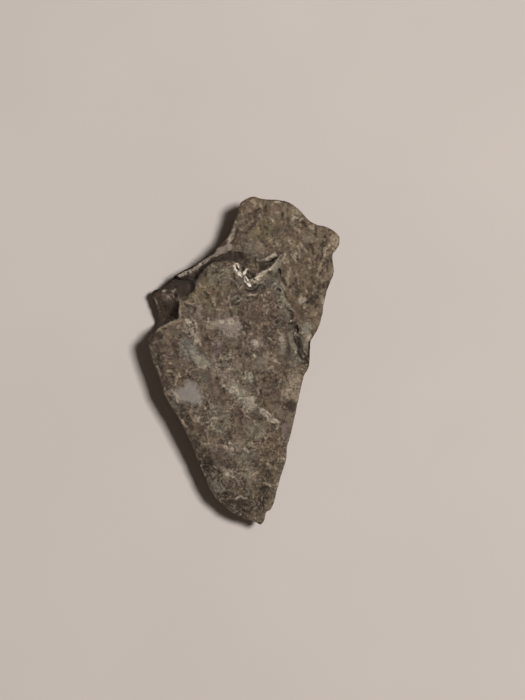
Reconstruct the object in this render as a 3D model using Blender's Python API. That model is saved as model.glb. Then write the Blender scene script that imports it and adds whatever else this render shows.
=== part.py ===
# Lunar meteorite end cut: one broken stone, lying on its flat sawn face.
# Units are metres, +Z is up. The origin is on the sawn face, under the middle of the stone's outline.
# +Y runs along the stone from its tip to its head, and +X runs across it.

import itertools
import math

import bmesh
import bpy
import numpy as np

MM = 0.001

# Driving sizes, in millimetres
FACE_LEVEL = 3.9
HEAD_LEVEL = 4.2
LEDGE_LEVEL = 3.05
UNDERCUT = 0.8
UNDERCUT_SWING = 0.45
BELLY_SHARE = 0.82
RIM_SHARE = 0.98
SAW_ALLOWANCE = 0.2
EDGE_WEAR_WIDTH = 0.3
EDGE_WEAR_DROP = 0.06
WALL_CHIPS = 0.75
WALL_LUMP = 0.12
FACE_LUMP = 0.08
LINE_WANDER = 0.16
FACET_BLEND = 0.12

# How finely the block is divided along X, Y and Z before it is shaped, and the share of faces kept
BLOCK_CELLS = (64, 128, 10)
KEPT_SHARE = 0.22

STONE_COLOUR = (0.155, 0.122, 0.093, 1.0)
STONE_ROUGHNESS = 0.72

# The outline seen from above, in millimetres, in four sides that run on from one another
HEAD_SIDE = [
    (-0.32, 12.64), (0.0, 12.92), (0.4, 13.12), (0.8, 13.2), (1.28, 13.04), (1.92, 12.96), (2.72, 12.92),
    (3.52, 12.76), (4.08, 12.4), (4.64, 11.88), (5.2, 11.28), (5.84, 10.92), (6.48, 10.8), (7.12, 10.48),
    (7.56, 10.08),
]
RIGHT_SIDE = [
    (7.68, 9.76), (7.6, 9.28), (7.36, 8.88), (7.1, 8.48), (7.12, 7.92), (7.2, 7.12), (6.96, 6.4), (6.64, 5.6),
    (6.4, 4.64), (6.24, 3.6), (5.96, 2.64), (5.56, 1.96), (5.32, 1.44), (5.28, 0.4), (5.16, -0.56), (4.8, -1.2),
    (4.6, -2.08), (4.32, -3.28), (4.04, -4.64), (3.76, -5.84), (3.46, -6.88), (3.38, -7.92), (3.0, -9.12),
    (2.64, -10.32), (2.48, -11.12),
]
TIP_SIDE = [
    (2.16, -11.92), (1.82, -12.14), (1.68, -12.4), (1.64, -12.8), (1.32, -13.2), (0.96, -13.0), (0.4, -12.84),
    (-0.24, -12.64), (-1.04, -12.16),
]
LEFT_SIDE = [
    (-1.76, -11.56), (-2.36, -10.96), (-2.8, -10.24), (-3.2, -9.28), (-3.68, -8.08), (-4.16, -6.88),
    (-4.72, -5.68), (-5.28, -4.56), (-5.96, -3.52), (-6.5, -2.44), (-6.84, -1.28), (-7.32, -0.08), (-7.62, 0.88),
    (-7.68, 1.68), (-7.54, 2.08), (-7.04, 2.48), (-7.0, 3.2), (-7.08, 3.92), (-7.32, 4.72), (-7.54, 5.28),
    (-7.36, 5.68), (-6.72, 5.92), (-6.08, 6.48), (-5.36, 7.04), (-4.48, 7.5), (-3.76, 7.8), (-3.04, 8.4),
    (-2.24, 8.96), (-1.76, 9.44), (-1.28, 9.92), (-1.0, 10.56), (-0.72, 11.36), (-0.44, 12.16),
]

# Where the upper face breaks off at the left: everything on the far side of this line lies lower
BREAK_EDGE = [
    (-7.7, 2.1), (-7.04, 2.5), (-6.48, 2.84), (-5.92, 3.2), (-5.28, 3.48), (-5.22, 4.2), (-5.2, 4.96),
    (-4.8, 5.36), (-4.2, 5.4), (-3.84, 5.7), (-3.8, 6.4), (-3.6, 7.0), (-3.1, 7.5), (-2.5, 7.84),
    (-1.76, 8.0), (-0.96, 8.0), (-0.64, 8.4), (-0.78, 8.9), (-0.9, 9.4), (-1.3, 9.9),
]
BREAK_BEYOND = [(-2.5, 12.0), (-9.5, 12.0), (-9.5, 2.1)]
BREAK_SLOPE_WIDTH = 0.55

# The broken corner: a slab that falls outwards up to a crest, a hollow beyond it and a ledge at the back
SLAB_LEVEL = 3.2
SLAB_RISE = (0.8, 0.5)
CREST_START = (-7.54, 5.28)
CREST_END = (-5.28, 4.88)
CREST_FAR_SLOPE = 1.05
HOLLOW_WIDTH = 1.7
HOLLOW_SLOPE = 2.2
LEDGE_FALL = 0.25
LEDGE_FALL_FROM = 0.6
LEDGE_RISE = 0.3
LEDGE_RISE_FROM = -4.2

# Grooves (below 0) and ridges (above 0): points, half width and height in millimetres
CREVICE = ([(-3.9, 6.8), (-3.2, 7.6), (-2.4, 8.15), (-1.5, 8.35), (-0.8, 8.45)], 0.42, -0.42)
TROUGH = ([(-0.4, 8.2), (0.16, 7.92), (0.96, 7.72), (1.76, 7.8), (2.4, 8.05)], 0.6, -0.6)
SHARP_RIDGE = ([(0.64, 6.5), (1.12, 6.85), (1.44, 7.16), (1.92, 7.4), (2.4, 7.76), (2.8, 8.25)], 0.36, 0.42)
HEAD_RIB = ([(2.6, 7.9), (2.6, 7.1), (2.85, 6.3), (3.2, 5.6), (3.1, 4.9), (3.6, 4.3), (4.2, 3.2)], 0.4, 0.07)
POCKET = ([(1.75, 6.95), (2.15, 6.75)], 0.5, -0.36)
SIDE_NICK = ([(4.1, 2.4), (4.3, 1.5), (4.6, 0.7), (4.95, -0.1)], 0.32, -0.34)
FEATURES = (TROUGH, SHARP_RIDGE, HEAD_RIB, POCKET, SIDE_NICK)

# The edge of the higher, browner head, from its ridge down to the right side
HEAD_EDGE = [
    (-0.7, 8.5), (0.1, 8.15), (0.9, 8.06), (1.7, 8.1), (2.3, 8.25), (2.85, 8.4), (2.9, 7.4), (2.95, 6.5),
    (3.2, 5.6), (3.4, 4.8), (3.75, 3.9), (4.3, 3.1), (5.6, 2.4),
]
HEAD_BEYOND = [(9.0, 2.4), (9.0, 15.0), (-3.0, 15.0), (-3.0, 8.5)]
HEAD_SLOPE_WIDTH = 0.8

# Flat facets of the upper side: a point on each, its level there, and its rise per millimetre along X and Y
FACE_FACETS = [
    ((-2.7, -8.8), 3.5, 0.3, 0.27),
    ((-5.4, -3.2), 3.84, 0.14, 0.07),
    ((0.6, -11.2), 3.3, 0.04, 0.3),
    ((4.2, -3.5), 3.86, -0.16, 0.03),
    ((-7.5, 2.1), 3.5, 1.2, -0.9),
]
HEAD_FACETS = [
    ((5.6, 10.2), 4.08, -0.16, -0.14),
    ((2.0, 12.3), 4.02, -0.03, -0.22),
    ((6.3, 6.0), 4.05, -0.2, 0.05),
    ((0.2, 11.0), 4.05, 0.35, 0.0),
]


def smooth_noise(points, cell, seed):
    """Gradient noise from about -1 to 1, one value for each row of points."""
    scaled = points / cell
    base = np.floor(scaled).astype(np.int64)
    inside = scaled - base
    eased = inside**3 * (inside * (inside * 6 - 15) + 10)
    total = np.zeros(len(points))
    for corner in itertools.product((0, 1), repeat=3):
        at = base + corner
        mixed = (at[:, 0] * 374761393 + at[:, 1] * 668265263 + at[:, 2] * 974634777 + seed * 362437) & 0xFFFFFFFF
        mixed = ((mixed ^ (mixed >> 13)) * 1274126177) & 0xFFFFFFFF
        turn = ((mixed >> 8) & 0xFFF) / 4096 * 2 * math.pi
        rise = ((mixed >> 20) & 0xFFF) / 2048 - 1
        flat = np.sqrt(1 - rise**2)
        away = inside - corner
        slope = away[:, 0] * flat * np.cos(turn) + away[:, 1] * flat * np.sin(turn) + away[:, 2] * rise
        total += slope * np.prod(np.where(corner, eased, 1 - eased), axis=1)
    return total * 1.6


def curve_through(points, steps):
    """Catmull-Rom curve through closed points, as one list of steps points for each gap."""
    points = np.array(points)
    before, start = np.roll(points, 1, axis=0), points
    end, after = np.roll(points, -1, axis=0), np.roll(points, -2, axis=0)
    t = np.linspace(0, 1, steps, endpoint=False)[None, :, None]
    start, end, before, after = (p[:, None, :] for p in (start, end, before, after))
    return 0.5 * (
        2 * start
        + (end - before) * t
        + (2 * before - 5 * start + 4 * end - after) * t**2
        + (3 * start - before - 3 * end + after) * t**3
    )


def evenly(points, count):
    """count points at even distances along an open line."""
    lengths = np.concatenate(([0], np.cumsum(np.hypot(*np.diff(points, axis=0).T))))
    wanted = np.linspace(0, lengths[-1], count)
    return np.stack([np.interp(wanted, lengths, points[:, k]) for k in (0, 1)], axis=1)


def outline_sides(count=201):
    """The four sides as even points: head left to right, right side up to down, tip and left side onwards."""
    sides = [HEAD_SIDE, RIGHT_SIDE, TIP_SIDE, LEFT_SIDE]
    dense = curve_through([p for side in sides for p in side], 12)
    ends = np.cumsum([0] + [len(side) for side in sides])
    runs = []
    for first, last in zip(ends[:-1], ends[1:]):
        run = dense[first:last].reshape(-1, 2)
        close = dense[last % len(dense), 0]
        runs.append(evenly(np.vstack([run, close]), count))
    return runs


def sawn_sides(sides, spread=34):
    """The edge of the sawn face: the outline smoothed, then drawn in by the undercut, most at the left."""
    loop = np.vstack([side[:-1] for side in sides])
    reach = np.arange(-3 * spread, 3 * spread + 1)
    weights = np.exp(-0.5 * (reach / spread) ** 2)
    weights /= weights.sum()
    smooth = sum(w * np.roll(loop, -k, axis=0) for w, k in zip(weights, reach))
    along = np.roll(smooth, -1, axis=0) - np.roll(smooth, 1, axis=0)
    along /= np.hypot(*along.T)[:, None]
    outward = np.stack([-along[:, 1], along[:, 0]], axis=1)
    drawn_in = UNDERCUT - UNDERCUT_SWING * outward[:, 0]
    loop = smooth - outward * drawn_in[:, None]
    size = len(sides[0]) - 1
    return [np.vstack([loop[k * size:(k + 1) * size], loop[(k + 1) * size % len(loop)]]) for k in range(4)]


def patch(sides, s, t):
    """Coons patch: s runs from the left side to the right, t from the tip to the head."""
    head, right, tip, left = sides
    right, tip = right[::-1], tip[::-1]
    spots = np.linspace(0, 1, len(head))

    def on(side, at):
        return np.stack([np.interp(at, spots, side[:, k]) for k in (0, 1)], axis=1)

    s1, t1 = s[:, None], t[:, None]
    across = (1 - t1) * on(tip, s) + t1 * on(head, s)
    along = (1 - s1) * on(left, t) + s1 * on(right, t)
    corners = (1 - t1) * ((1 - s1) * tip[0] + s1 * tip[-1]) + t1 * ((1 - s1) * head[0] + s1 * head[-1])
    return across + along - corners


def distance_to_line(spots, line):
    """Distance from each spot to the nearest point of a line through the given points."""
    line = np.array(line)
    best = np.full(len(spots), np.inf)
    for a, b in zip(line[:-1], line[1:]):
        run = b - a
        share = np.clip((spots - a) @ run / (run @ run), 0, 1)
        best = np.minimum(best, np.hypot(*(spots - a - share[:, None] * run).T))
    return best


def is_inside(spots, ring):
    """True where a spot is inside a closed ring of points."""
    inside = np.zeros(len(spots), bool)
    for (x1, y1), (x2, y2) in zip(ring, ring[1:] + ring[:1]):
        crosses = (y1 > spots[:, 1]) != (y2 > spots[:, 1])
        with np.errstate(divide="ignore", invalid="ignore"):
            side = spots[:, 0] < (x2 - x1) * (spots[:, 1] - y1) / (y2 - y1) + x1
        inside ^= crosses & side
    return inside


def beyond_edge(spots, edge, far_points):
    """Distance past an edge: above 0 on the side of the far points and below 0 on the near side."""
    away = distance_to_line(spots, edge)
    return np.where(is_inside(spots, edge + far_points), away, -away)


def fall(away, width):
    """0 up to an edge, then a fall that is steep at the edge and runs out to 1 at its foot."""
    return 1 - (1 - np.clip(away / width, 0, 1)) ** 2.4


def welt(spots, feature):
    """A ridge or groove that follows a line, with straight flanks."""
    line, half_width, height = feature
    return height * np.clip(1 - distance_to_line(spots, line) / half_width, 0, 1)


def lower_of(a, b):
    """The lower of two heights, with a softened corner where they cross."""
    return 0.5 * (a + b - np.sqrt((a - b) ** 2 + FACET_BLEND**2))


def faceted(spots, level, facets):
    """A level surface cut by flat facets."""
    for (x, y), height, rise_x, rise_y in facets:
        level = lower_of(level, height + rise_x * (spots[:, 0] - x) + rise_y * (spots[:, 1] - y))
    return level


def broken_corner(spots):
    """Floor of the broken corner: a slab up to the crest, a hollow beyond it and a ledge at the back."""
    start, end = np.array(CREST_START), np.array(CREST_END)
    along = (end - start) / np.hypot(*(end - start))
    past_crest = (spots - start) @ np.array([-along[1], along[0]])
    slab = SLAB_LEVEL + (spots - end) @ np.array(SLAB_RISE)
    crest = slab - CREST_FAR_SLOPE * np.maximum(past_crest, 0)
    rise = slab - CREST_FAR_SLOPE * HOLLOW_WIDTH + HOLLOW_SLOPE * (past_crest - HOLLOW_WIDTH)
    ledge = LEDGE_LEVEL - LEDGE_FALL * (distance_to_line(spots, BREAK_EDGE) - LEDGE_FALL_FROM)
    ledge += LEDGE_RISE * np.maximum(spots[:, 0] - LEDGE_RISE_FROM, 0)
    return np.minimum(ledge, np.maximum(crest, rise)) + welt(spots, CREVICE)


def edge_wear(spots):
    """How much the rim is worn down, from its full drop at the outline to nothing further in."""
    sides = outline_sides(26)
    rim = np.vstack([side[:-1] for side in sides] + [sides[0][:1]])
    share = np.clip(1 - distance_to_line(spots, rim) / EDGE_WEAR_WIDTH, 0, 1)
    return EDGE_WEAR_DROP * share**2


def top_height(spots):
    """Height of the upper surface over each spot of the plan."""
    at = np.column_stack([spots, np.zeros(len(spots))])
    wander = np.column_stack([smooth_noise(at, 1.1, seed) for seed in (21, 22)])
    near = spots + LINE_WANDER * (wander + 0.4 * smooth_noise(at, 0.45, 23)[:, None])
    slant = 1 + 0.6 * smooth_noise(at, 1.3, 24)
    face = faceted(near + 2 * LINE_WANDER * wander, FACE_LEVEL + 0.01 * spots[:, 1], FACE_FACETS)
    head = faceted(near + 2 * LINE_WANDER * wander, np.full(len(spots), HEAD_LEVEL), HEAD_FACETS)
    off_head = fall(-beyond_edge(near, HEAD_EDGE, HEAD_BEYOND), HEAD_SLOPE_WIDTH * slant)
    high = head + (face - head) * off_head
    for feature in FEATURES:
        high = high + welt(near, feature)
    broken = fall(beyond_edge(near, BREAK_EDGE, BREAK_BEYOND), BREAK_SLOPE_WIDTH * slant)
    lumps = smooth_noise(at, 2.6, 3) + 0.5 * smooth_noise(at, 1.2, 4) - 0.5 * np.abs(smooth_noise(at, 0.8, 5))
    return high + (broken_corner(near) - high) * broken + FACE_LUMP * lumps - edge_wear(spots)


def fade_to_belly(h):
    """1 at the sawn face and 0 from the widest level up, so that the outline stays as drawn."""
    return 1 - np.clip(h / BELLY_SHARE, 0, 1) ** 4


def wall_share(h):
    """How far out from the sawn edge (0) to the outline (1) the wall is at each share of the height."""
    below = 1 - (1 - h / BELLY_SHARE) ** 2
    above = 1 - (1 - RIM_SHARE) * ((h - BELLY_SHARE) / (1 - BELLY_SHARE)) ** 2
    return np.where(h < BELLY_SHARE, below, above)


def shape_points(s, t, h):
    """Moves points of the unit block to the stone's surface, in millimetres."""
    sides = outline_sides()
    sawn = patch(sawn_sides(sides), s, t)
    out = patch(sides, s, t) - sawn
    level = h * top_height(sawn + RIM_SHARE * out)
    share = wall_share(h)
    at = np.column_stack([sawn + share[:, None] * out, level])
    chips = np.abs(smooth_noise(at, 3.0, 8)) + 0.5 * np.abs(smooth_noise(at, 1.4, 9))
    share = share - WALL_CHIPS * fade_to_belly(h) * chips
    lumps = np.column_stack([smooth_noise(at, 1.5, seed) for seed in (11, 12)])
    plan = sawn + share[:, None] * out + WALL_LUMP * fade_to_belly(h)[:, None] * lumps
    return np.column_stack([plan, level])


def divided_block(name):
    """A unit cube divided into even cells along each axis."""
    bm = bmesh.new()
    bmesh.ops.create_cube(bm, size=1.0)
    for axis, cells in enumerate(BLOCK_CELLS):
        edges = [e for e in bm.edges if abs(e.verts[0].co[axis] - e.verts[1].co[axis]) > 1e-6]
        bmesh.ops.subdivide_edges(bm, edges=edges, cuts=cells - 1, use_grid_fill=True)
    mesh = bpy.data.meshes.new(name)
    bm.to_mesh(mesh)
    bm.free()
    return mesh


def stone_material():
    material = bpy.data.materials.new("weathered breccia")
    material.use_nodes = True
    shader = material.node_tree.nodes["Principled BSDF"]
    shader.inputs["Base Color"].default_value = STONE_COLOUR
    shader.inputs["Roughness"].default_value = STONE_ROUGHNESS
    shader.inputs["Metallic"].default_value = 0.0
    return material


def saw_flat(mesh):
    """Cuts the stone along z = 0, takes the lower piece away and closes the cut with one flat face."""
    bm = bmesh.new()
    bm.from_mesh(mesh)
    everything = bm.verts[:] + bm.edges[:] + bm.faces[:]
    cut = bmesh.ops.bisect_plane(bm, geom=everything, plane_co=(0, 0, 0), plane_no=(0, 0, 1), clear_inner=True)
    rim = [e for e in cut["geom_cut"] if isinstance(e, bmesh.types.BMEdge)]
    bmesh.ops.contextual_create(bm, geom=rim)
    bmesh.ops.recalc_face_normals(bm, faces=bm.faces[:])
    bm.to_mesh(mesh)
    bm.free()


def add_stone(collection):
    block = divided_block("block")
    flat = np.empty(len(block.vertices) * 3)
    block.vertices.foreach_get("co", flat)
    s, t, up = (flat.reshape(-1, 3) + 0.5).T
    h = up * (1 + SAW_ALLOWANCE) - SAW_ALLOWANCE
    block.vertices.foreach_set("co", (shape_points(s, t, h) * MM).ravel())
    shaped = bpy.data.objects.new("block", block)
    collection.objects.link(shaped)
    thin = shaped.modifiers.new("fewer faces on flat stretches", "DECIMATE")
    thin.ratio = KEPT_SHARE
    thinned = shaped.evaluated_get(bpy.context.evaluated_depsgraph_get())
    mesh = bpy.data.meshes.new_from_object(thinned)
    bpy.data.objects.remove(shaped)
    saw_flat(mesh)
    mesh.name = "stone"
    mesh.materials.append(stone_material())
    collection.objects.link(bpy.data.objects.new("stone", mesh))


def main():
    for old in list(bpy.data.objects):
        bpy.data.objects.remove(old)
    parts = bpy.data.collections.new("lunar_meteorite_end_cut")
    bpy.context.scene.collection.children.link(parts)
    add_stone(parts)


main()
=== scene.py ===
# Looks for the lunar meteorite end cut: one weathered breccia stone with a sawn underside.
# Lengths in the dictionaries are millimetres, in the part's own frame, unless a line says otherwise.
import itertools
import math

import bpy
import numpy as np
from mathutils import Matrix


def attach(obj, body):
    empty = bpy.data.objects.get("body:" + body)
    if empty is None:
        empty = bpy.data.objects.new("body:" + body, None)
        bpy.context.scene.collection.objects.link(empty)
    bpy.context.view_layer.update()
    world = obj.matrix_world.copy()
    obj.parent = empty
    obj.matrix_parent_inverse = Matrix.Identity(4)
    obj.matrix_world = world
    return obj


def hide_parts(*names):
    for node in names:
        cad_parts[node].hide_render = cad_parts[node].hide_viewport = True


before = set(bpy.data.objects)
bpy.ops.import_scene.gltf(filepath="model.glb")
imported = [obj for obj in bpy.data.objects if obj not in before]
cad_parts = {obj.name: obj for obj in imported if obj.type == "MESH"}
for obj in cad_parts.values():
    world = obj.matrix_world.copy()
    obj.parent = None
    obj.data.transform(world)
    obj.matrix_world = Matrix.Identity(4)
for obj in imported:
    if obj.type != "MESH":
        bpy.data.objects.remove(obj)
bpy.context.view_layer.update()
print("stage 1: frame loaded")

mm = 0.001

# The camera looks straight down, as the photograph was taken
view = {
    "centre": (1.48, 0.88),  # what the middle of the picture looks at
    "height": 204.0,  # above the floor
    "frameLength": 57.1,  # floor seen along the picture's long side
    "sensor": 36.0,
    "clipStart": 5.0,
}

studio = {
    "keyFrom": (0.93, 0.36),  # plan direction that the light comes from
    "keyRise": 67.3,  # degrees above the floor
    "keyDistance": 500.0,
    "keySize": 86.0,
    "keyPower": 2.48,  # watts
    "keyColour": (1.0, 0.99, 0.98),
    "fill": 0.096,
    "fillColour": (1.0, 0.82, 0.68),
    "seenAround": (0.62, 0.56, 0.51),  # what a low view sees above the floor's edge
    "floorColour": (198, 189, 182),
    # Noise scale and detail, then its smooth step (from, to, lowest, highest)
    "floorPatches": ((0.05, 2.0), (0.3, 0.7, 0.985, 1.015)),
    "floorRoughness": 0.9,
    "floorGloss": 0.1,
    "floorSize": 3000.0,
}


# Display value 0-255 to linear light: ((v + 0.055) / 1.055) ^ 2.4, or v / 12.92 near black
def linear(colour, gain=1.0):
    parts = [v / 255 for v in colour]
    return tuple(gain * (((v + 0.055) / 1.055) ** 2.4 if v > 0.04 else v / 12.92) for v in parts) + (1.0,)


stoneForm = {
    "faceLevel": 3.9,
    "headLevel": 4.2,
    "ledgeLevel": 3.05,
    "undercut": 0.8,
    "undercutSwing": 0.45,
    "bellyShare": 0.82,  # height share where the stone is widest
    "rimShare": 0.98,
    "edgeWearWidth": 0.3,
    "edgeWearDrop": 0.06,
    "wallChips": 0.75,
    "chipFade": 4,  # power at which chips and lumps die out towards the belly
    "wallLump": 0.12,
    "faceLump": 0.08,
    "lineWander": 0.16,
    "facetWander": 0.32,
    "facetBlend": 0.12,
    "faceRise": 0.01,  # per millimetre along Y
    "fallPower": 2.4,
    "sharpAngle": 48,  # degrees
    "cells": (190, 380, 22),  # across, along and down
    "curveSteps": 12,  # points for each gap of the outline
    "sidePoints": 201,
    "rimPoints": 26,
    "sawnSpread": 34,  # points that the sawn edge is smoothed over
    # Noise layers: cell, seed and, where they are added up, share
    "wanderNoise": [(1.1, 21), (1.1, 22)],
    "fineWanderNoise": (0.45, 23, 0.4),
    "slantNoise": (1.3, 24, 0.6),
    "lumpNoise": [(2.6, 3, 1.0), (1.2, 4, 0.5)],
    "dentNoise": (0.8, 5, 0.5),
    "chipNoise": [(3.0, 8, 1.0), (1.4, 9, 0.5)],
    "wallNoise": [(1.5, 11), (1.5, 12)],
    # The outline seen from above, in four sides that run on from one another
    "headSide": [
        (-0.32, 12.64), (0.0, 12.92), (0.4, 13.12), (0.8, 13.2), (1.28, 13.04), (1.92, 12.96), (2.72, 12.92),
        (3.52, 12.76), (4.08, 12.4), (4.64, 11.88), (5.2, 11.28), (5.84, 10.92), (6.48, 10.8), (7.12, 10.48),
        (7.56, 10.08),
    ],
    "rightSide": [
        (7.68, 9.76), (7.6, 9.28), (7.36, 8.88), (7.1, 8.48), (7.12, 7.92), (7.2, 7.12), (6.96, 6.4),
        (6.64, 5.6), (6.4, 4.64), (6.24, 3.6), (5.96, 2.64), (5.56, 1.96), (5.32, 1.44), (5.28, 0.4),
        (5.16, -0.56), (4.8, -1.2), (4.6, -2.08), (4.32, -3.28), (4.04, -4.64), (3.76, -5.84), (3.46, -6.88),
        (3.38, -7.92), (3.0, -9.12), (2.64, -10.32), (2.48, -11.12),
    ],
    "tipSide": [
        (2.16, -11.92), (1.82, -12.14), (1.68, -12.4), (1.64, -12.8), (1.32, -13.2), (0.96, -13.0),
        (0.4, -12.84), (-0.24, -12.64), (-1.04, -12.16),
    ],
    "leftSide": [
        (-1.76, -11.56), (-2.36, -10.96), (-2.8, -10.24), (-3.2, -9.28), (-3.68, -8.08), (-4.16, -6.88),
        (-4.72, -5.68), (-5.28, -4.56), (-5.96, -3.52), (-6.5, -2.44), (-6.84, -1.28), (-7.32, -0.08),
        (-7.62, 0.88), (-7.68, 1.68), (-7.54, 2.08), (-7.04, 2.48), (-7.0, 3.2), (-7.08, 3.92), (-7.32, 4.72),
        (-7.54, 5.28), (-7.36, 5.68), (-6.72, 5.92), (-6.08, 6.48), (-5.36, 7.04), (-4.48, 7.5), (-3.76, 7.8),
        (-3.04, 8.4), (-2.24, 8.96), (-1.76, 9.44), (-1.28, 9.92), (-1.0, 10.56), (-0.72, 11.36),
        (-0.44, 12.16),
    ],
    # Beyond this edge the upper face has broken away and lies lower
    "breakEdge": [
        (-7.7, 2.1), (-7.04, 2.5), (-6.48, 2.84), (-5.92, 3.2), (-5.28, 3.48), (-5.22, 4.2), (-5.2, 4.96),
        (-4.8, 5.36), (-4.2, 5.4), (-3.84, 5.7), (-3.8, 6.4), (-3.6, 7.0), (-3.1, 7.5), (-2.5, 7.84),
        (-1.76, 8.0), (-0.96, 8.0), (-0.64, 8.4), (-0.78, 8.9), (-0.9, 9.4), (-1.3, 9.9),
    ],
    "breakBeyond": [(-2.5, 12.0), (-9.5, 12.0), (-9.5, 2.1)],
    "breakSlopeWidth": 0.55,
    # The broken corner: a slab that falls outwards up to a crest, a hollow behind it and a ledge at the back
    "slabLevel": 3.2,  # at the crest's inner end
    "slabRise": (0.8, 0.5),  # per millimetre along X and Y
    "crestStart": (-7.54, 5.28),
    "crestEnd": (-5.28, 4.88),
    "crestFarSlope": 1.05,
    "hollowWidth": 1.7,
    "hollowSlope": 2.2,
    "ledgeRise": 0.3,  # per millimetre along X, towards the head
    "ledgeFrom": -4.2,
    "ledgeFall": 0.25,  # per millimetre away from the break edge
    "ledgeFallFrom": 0.6,
    # The edge of the higher, browner head
    "headEdge": [
        (-0.7, 8.5), (0.1, 8.15), (0.9, 8.06), (1.7, 8.1), (2.3, 8.25), (2.85, 8.4), (2.9, 7.4), (2.95, 6.5),
        (3.2, 5.6), (3.4, 4.8), (3.75, 3.9), (4.3, 3.1), (5.6, 2.4),
    ],
    "headBeyond": [(9.0, 2.4), (9.0, 15.0), (-3.0, 15.0), (-3.0, 8.5)],
    "headSlopeWidth": 0.8,
    # Flat facets: a point on each, its level there, and its rise per millimetre along X and Y
    "faceFacets": [
        ((-2.7, -8.8), 3.5, 0.3, 0.27),
        ((-5.4, -3.2), 3.84, 0.14, 0.07),
        ((0.6, -11.2), 3.3, 0.04, 0.3),
        ((4.2, -3.5), 3.86, -0.16, 0.03),
        ((-7.5, 2.1), 3.5, 1.2, -0.9),
    ],
    "headFacets": [
        ((5.6, 10.2), 4.08, -0.16, -0.14),
        ((2.0, 12.3), 4.02, -0.03, -0.22),
        ((6.3, 6.0), 4.05, -0.2, 0.05),
        ((0.2, 11.0), 4.05, 0.35, 0.0),
    ],
}

# Grooves (below 0) and ridges (above 0): points, half width and height
crevice = ([(-3.9, 6.8), (-3.2, 7.6), (-2.4, 8.15), (-1.5, 8.35), (-0.8, 8.45)], 0.42, -0.42)
trough = ([(-0.4, 8.2), (0.16, 7.92), (0.96, 7.72), (1.76, 7.8), (2.4, 8.05)], 0.6, -0.6)
sharpRidge = ([(0.64, 6.5), (1.12, 6.85), (1.44, 7.16), (1.92, 7.4), (2.4, 7.76), (2.8, 8.25)], 0.36, 0.42)
headRib = ([(2.6, 7.9), (2.6, 7.1), (2.85, 6.3), (3.2, 5.6), (3.1, 4.9), (3.6, 4.3), (4.2, 3.2)], 0.4, 0.07)
pocket = ([(1.75, 6.95), (2.15, 6.75)], 0.5, -0.36)
sideNick = ([(4.1, 2.4), (4.3, 1.5), (4.6, 0.7), (4.95, -0.1)], 0.32, -0.34)

# Smaller relief that only the finished surface carries
fineRelief = {
    "features": [
        ([(-0.84, 7.9), (-0.5, 7.4), (-0.28, 7.1)], 0.11, 0.12),  # raised slivers that carry the painted highlight
        ([(-0.1, 7.05), (0.15, 6.75), (0.25, 6.6)], 0.16, 0.2),
        ([(0.25, 6.55), (0.55, 6.15)], 0.13, 0.16),
        ([(0.12, 7.45), (0.02, 7.15)], 0.1, 0.12),
        ([(-0.7, 7.65), (-0.45, 7.85), (-0.2, 7.6)], 0.1, 0.1),
        ([(-0.5, 7.45), (-0.4, 7.55)], 0.2, -0.3),  # holes beside them
        ([(0.3, 7.0), (0.75, 6.7)], 0.26, -0.3),
        ([(-0.3, 6.7), (0.1, 6.35)], 0.22, -0.2),
        ([(0.5, 6.1), (1.1, 6.0), (1.5, 5.9)], 0.22, -0.2),
        ([(-1.93, -0.1), (-1.85, -0.05)], 0.14, -0.2),  # lone pit
        ([(4.1, 2.7), (4.2, 2.45)], 0.2, -0.16),
        ([(4.1, 2.1), (4.35, 1.0), (4.8, -0.1)], 0.12, -0.16),
        ([(2.75, 7.3), (2.85, 6.9)], 0.12, -0.3),
        ([(-1.2, 5.7), (-1.15, 5.0), (-1.05, 4.5)], 0.12, -0.08),
        ([(3.0, 5.9), (3.3, 5.1), (3.7, 4.3)], 0.12, -0.12),
        ([(-4.2, -3.2), (-4.9, -3.3), (-5.5, -3.0)], 0.1, -0.06),
        ([(-5.3, -2.3), (-4.5, -1.9), (-3.7, -2.1), (-3.4, -3.0)], 0.09, -0.05),
        ([(-3.9, 2.6), (-3.7, 1.9), (-3.4, 1.3)], 0.1, 0.06),
        ([(1.3, -3.8), (2.1, -4.3), (2.8, -5.0)], 0.16, 0.07),  # long cream sliver
    ],
    "crumbleAt": (0.3, 6.7),  # rough patch below the trough
    "crumbleReach": 1.7,
    "crumbleFade": 0.5,  # power
    "crumble": 0.11,
    "crumbleNoise": [(0.36, 43, 1.0), (0.2, 44, 0.6)],  # cell, seed, share
    "layers": [(0.95, 0.04, 31), (0.5, 0.036, 32), (0.26, 0.034, 33)],  # cell, height, seed
    "creases": [(1.3, 0.06, 34), (0.62, 0.05, 35), (0.34, 0.03, 36)],
    "wallGain": 2.1,
    "rimGain": 0.35,  # calmer where the outline shows
    "rimWidth": 0.2,  # share of the wall's height
    "rimAcross": 6,  # how many times narrower it is on the top, as a share of it
    "rimStart": 1.5,  # above 1, so that it is full for a while
    "wander": 0.07,
    "wanderNoise": [(0.5, 41), (0.5, 42)],
    "calmed": 0.95,  # share taken off on the smooth clasts
    "calmSoft": 0.2,
    "blushCalm": 0.5,
    "brokenCalmed": 0.55,
    "pitCount": 150,
    "pitRadius": (0.1, 0.24),
    "pitDepth": (0.04, 0.12),
    "pitLow": (-7.5, -13.0), "pitHigh": (7.6, 13.0),
    "pitSeed": 7,
    "sawnFade": 0.35,  # height over which relief dies out above the sawn face
}


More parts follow.
